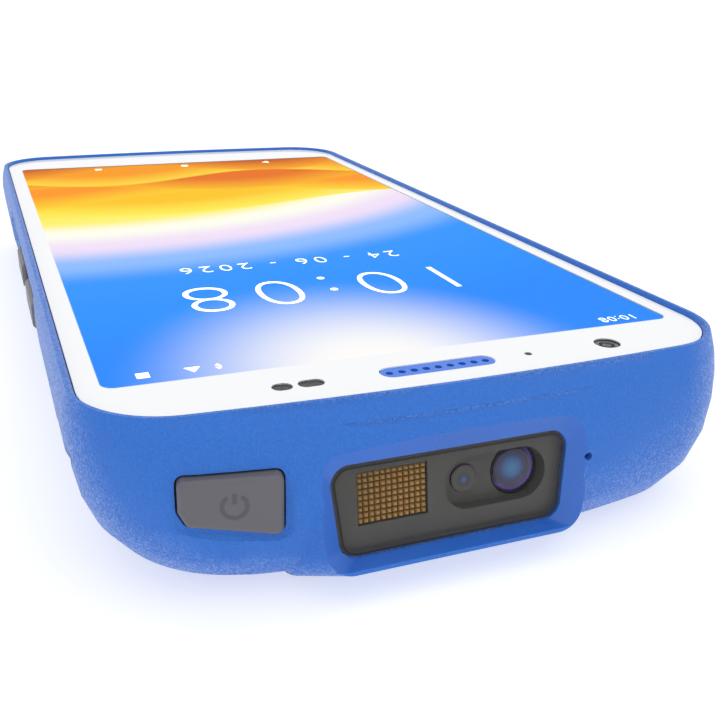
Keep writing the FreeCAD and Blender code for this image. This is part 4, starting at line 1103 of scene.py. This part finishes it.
def wire_mesh_tree(material):
    sizes = {"Width": 0.016, "Length": 0.011, "Wire radius": 0.0001, "Wires across": 20,
             "Wires along": 14}
    tree, size = new_tree("wire_mesh", sizes)
    grid = add_node(tree, "GeometryNodeMeshGrid", {
        "Size X": size["Width"], "Size Y": size["Length"], "Vertices X": size["Wires across"],
        "Vertices Y": size["Wires along"]})
    lines = add_node(tree, "GeometryNodeMeshToCurve", {"Mesh": grid})
    section = add_node(tree, "GeometryNodeCurvePrimitiveCircle", {
        "Resolution": 6, "Radius": size["Wire radius"]})
    wires = add_node(tree, "GeometryNodeCurveToMesh", {
        "Curve": lines, "Profile Curve": section, "Fill Caps": True})
    close_tree(tree, wires, material)
    return tree


WIRE_R = 0.09
weave_size = size_mm("speaker_mesh")
weave = grown_mesh("speaker_wires", wire_mesh_tree(mesh_steel), {
    "Width": (weave_size.x - 2 * WIRE_R) * MM, "Length": (weave_size.y - 2 * WIRE_R) * MM,
    "Wire radius": WIRE_R * MM})
weave.transform(Matrix.Translation(centre_mm("speaker_mesh") * MM))
speaker_wires = settle("speaker_wires", weave, mesh_steel, "terminal", smooth=True)
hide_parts("speaker_mesh")

# %% [markdown]
# Six pan-head screws with six-sided sockets hold the back on. One screw is drawn in the tree and put
# on each point of a small mesh whose points are the screws' places: two long screws by the scanning
# end and four short ones in the roof of the battery's well.

# %% Housing screws


def screw_tree(material):
    sizes = {"Head radius": 0.0015, "Head height": 0.0008, "Shank radius": 0.0007, "Length": 0.006,
             "Socket radius": 0.0008, "Socket depth": 0.0005}
    tree, size = new_tree("socket_screw", sizes)
    under = add_node(tree, "ShaderNodeMath", {0: size["Head radius"], 1: 0.86}, operation="MULTIPLY")
    head = add_node(tree, "GeometryNodeMeshCone", {
        "Vertices": 32, "Radius Top": size["Head radius"], "Radius Bottom": under,
        "Depth": size["Head height"]})
    twice = add_node(tree, "ShaderNodeMath", {0: size["Socket depth"], 1: 2.0}, operation="MULTIPLY")
    socket = add_node(tree, "GeometryNodeMeshCylinder", {
        "Vertices": 6, "Radius": size["Socket radius"], "Depth": twice})
    cut = add_node(tree, "GeometryNodeMeshBoolean", {
        "Mesh 1": head, "Mesh 2": socket},
        operation="DIFFERENCE", solver="EXACT")
    length = add_node(tree, "ShaderNodeMath", {0: size["Length"], 1: size["Head height"]},
                      operation="SUBTRACT")
    shank = add_node(tree, "GeometryNodeMeshCylinder", {
        "Vertices": 16, "Radius": size["Shank radius"], "Depth": length})
    half = add_node(tree, "ShaderNodeMath", {0: length, 1: 0.5, 2: size["Head height"]},
                    operation="MULTIPLY_ADD")
    lift = add_node(tree, "ShaderNodeCombineXYZ", {2: half})
    stood = add_node(tree, "GeometryNodeTransform", {"Geometry": shank, "Translation": lift})
    whole = add_node(tree, "GeometryNodeJoinGeometry")
    tree.links.new(cut.outputs["Mesh"], whole.inputs[0])
    tree.links.new(stood.outputs["Geometry"], whole.inputs[0])
    screws = add_node(tree, "GeometryNodeInstanceOnPoints", {
        "Points": size["Geometry"], "Instance": whole})
    close_tree(tree, screws, material)
    return tree


SCREW_X = 20.0
BACK_HEAD_Z, BACK_ROW = 0.6, -57.5
WELL_HEAD_Z, WELL_ROWS = 9.6, (0.0, 55.0)


def screw_rows():
    """All six screws in one mesh: the two in the back and the four in the well's roof."""
    tree = screw_tree(screw_steel)
    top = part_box("housing_screws")[1].z / MM
    bm = bmesh.new()
    for low, rows in ((BACK_HEAD_Z, (BACK_ROW,)), (WELL_HEAD_Z, WELL_ROWS)):
        places = [Vector((side * SCREW_X, y, low)) * MM for y in rows for side in (-1, 1)]
        points = bpy.data.meshes.new("screw_places")
        points.from_pydata(places, [], [])
        bm.from_mesh(grown_mesh("screws", tree, {"Length": (top - low) * MM}, points))
    return mesh_from(bm, "socket_screws")


socket_screws = settle("socket_screws", screw_rows(), screw_steel, "terminal")
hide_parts("housing_screws")

# %% [markdown]
# The studio is a pale floor under a white room. The room itself is the main light, so that every
# side is lit softly and low angles catch white. It is full white to the camera and in reflections,
# and a little dimmer as a lamp. The floor gives some light of its own, like a light table, which
# keeps the shadow faint. Two distant soft lamps shape the form a little and leave the floor even. The
# camera stands where the photograph was taken from: low, at the left of the near end, with a slight
# roll.

# %% Studio and camera
FLOOR_HALF = 30.0
floor_mesh = bpy.data.meshes.new("studio_floor")
floor_mesh.from_pydata([(-FLOOR_HALF, -FLOOR_HALF, 0), (FLOOR_HALF, -FLOOR_HALF, 0),
                        (FLOOR_HALF, FLOOR_HALF, 0), (-FLOOR_HALF, FLOOR_HALF, 0)], [], [(0, 1, 2, 3)])
floor = bpy.data.objects.new("studio_floor", floor_mesh)
scene.collection.objects.link(floor)
start_finish("pale_studio_floor", "#CACACC", 0.9, Specular_IOR_Level=0.0,
             Emission_Color=linear("#FFFFFF"), Emission_Strength=0.56)
floor_mesh.materials.append(bpy.data.materials["pale_studio_floor"])

world = bpy.data.worlds.new("white_room")
scene.world = world
world.use_nodes = True
sky = world.node_tree
sky.nodes.clear()
path = add_node(sky, "ShaderNodeLightPath")
direct = add_node(sky, "ShaderNodeMath", {
    0: path.outputs["Is Camera Ray"], 1: path.outputs["Is Glossy Ray"]}, operation="MAXIMUM")
seen = add_node(sky, "ShaderNodeMath", {0: direct, 1: path.outputs["Is Transmission Ray"]},
                operation="MAXIMUM")
ROOM_LIGHT = 0.74
level = add_node(sky, "ShaderNodeMapRange", {
    "Value": seen, "From Min": 0.0, "From Max": 1.0, "To Min": ROOM_LIGHT, "To Max": 1.0})
room = add_node(sky, "ShaderNodeBackground", {"Color": (1, 1, 1, 1), "Strength": level})
add_node(sky, "ShaderNodeOutputWorld", {"Surface": room})


def soft_sun(name, strength, spread, towards):
    """Distant lamp with soft edges, shining in this direction. It lights the floor evenly."""
    lamp = bpy.data.lights.new(name, "SUN")
    lamp.energy = strength
    lamp.angle = math.radians(spread)
    holder = bpy.data.objects.new(name, lamp)
    scene.collection.objects.link(holder)
    holder.rotation_euler = Vector(towards).to_track_quat("-Z", "Y").to_euler()
    holder.visible_glossy = False
    return holder


soft_sun("top_softbox", strength=0.75, spread=70.0, towards=(-0.15, 0.1, -1.0))
soft_sun("front_softbox", strength=0.25, spread=50.0, towards=(0.5, 0.8, -0.55))

CAMERA_PLACE = Vector((-41.2, -141.5, 53.2))
CAMERA_YAW = math.radians(21.74)
CAMERA_PITCH = math.radians(21.94)
CAMERA_ROLL = math.radians(1.23)
CAMERA_LENS = 45.79
CAMERA_SHIFT = 0.0278
SENSOR_W = 36.0
camera_data = bpy.data.cameras.new("photo_camera")
camera_data.lens = CAMERA_LENS
camera_data.sensor_width = SENSOR_W
camera_data.shift_x = CAMERA_SHIFT
camera_data.clip_start = 0.005
camera = bpy.data.objects.new("photo_camera", camera_data)
scene.collection.objects.link(camera)
facing = (Matrix.Rotation(-CAMERA_YAW, 4, "Z") @ Matrix.Rotation(math.pi / 2 - CAMERA_PITCH, 4, "X")
          @ Matrix.Rotation(CAMERA_ROLL, 4, "Z"))
camera.matrix_world = Matrix.Translation(CAMERA_PLACE * MM) @ facing
scene.camera = camera
scene.view_settings.view_transform = "Standard"
print("camera at, mm:", [round(v, 1) for v in CAMERA_PLACE])
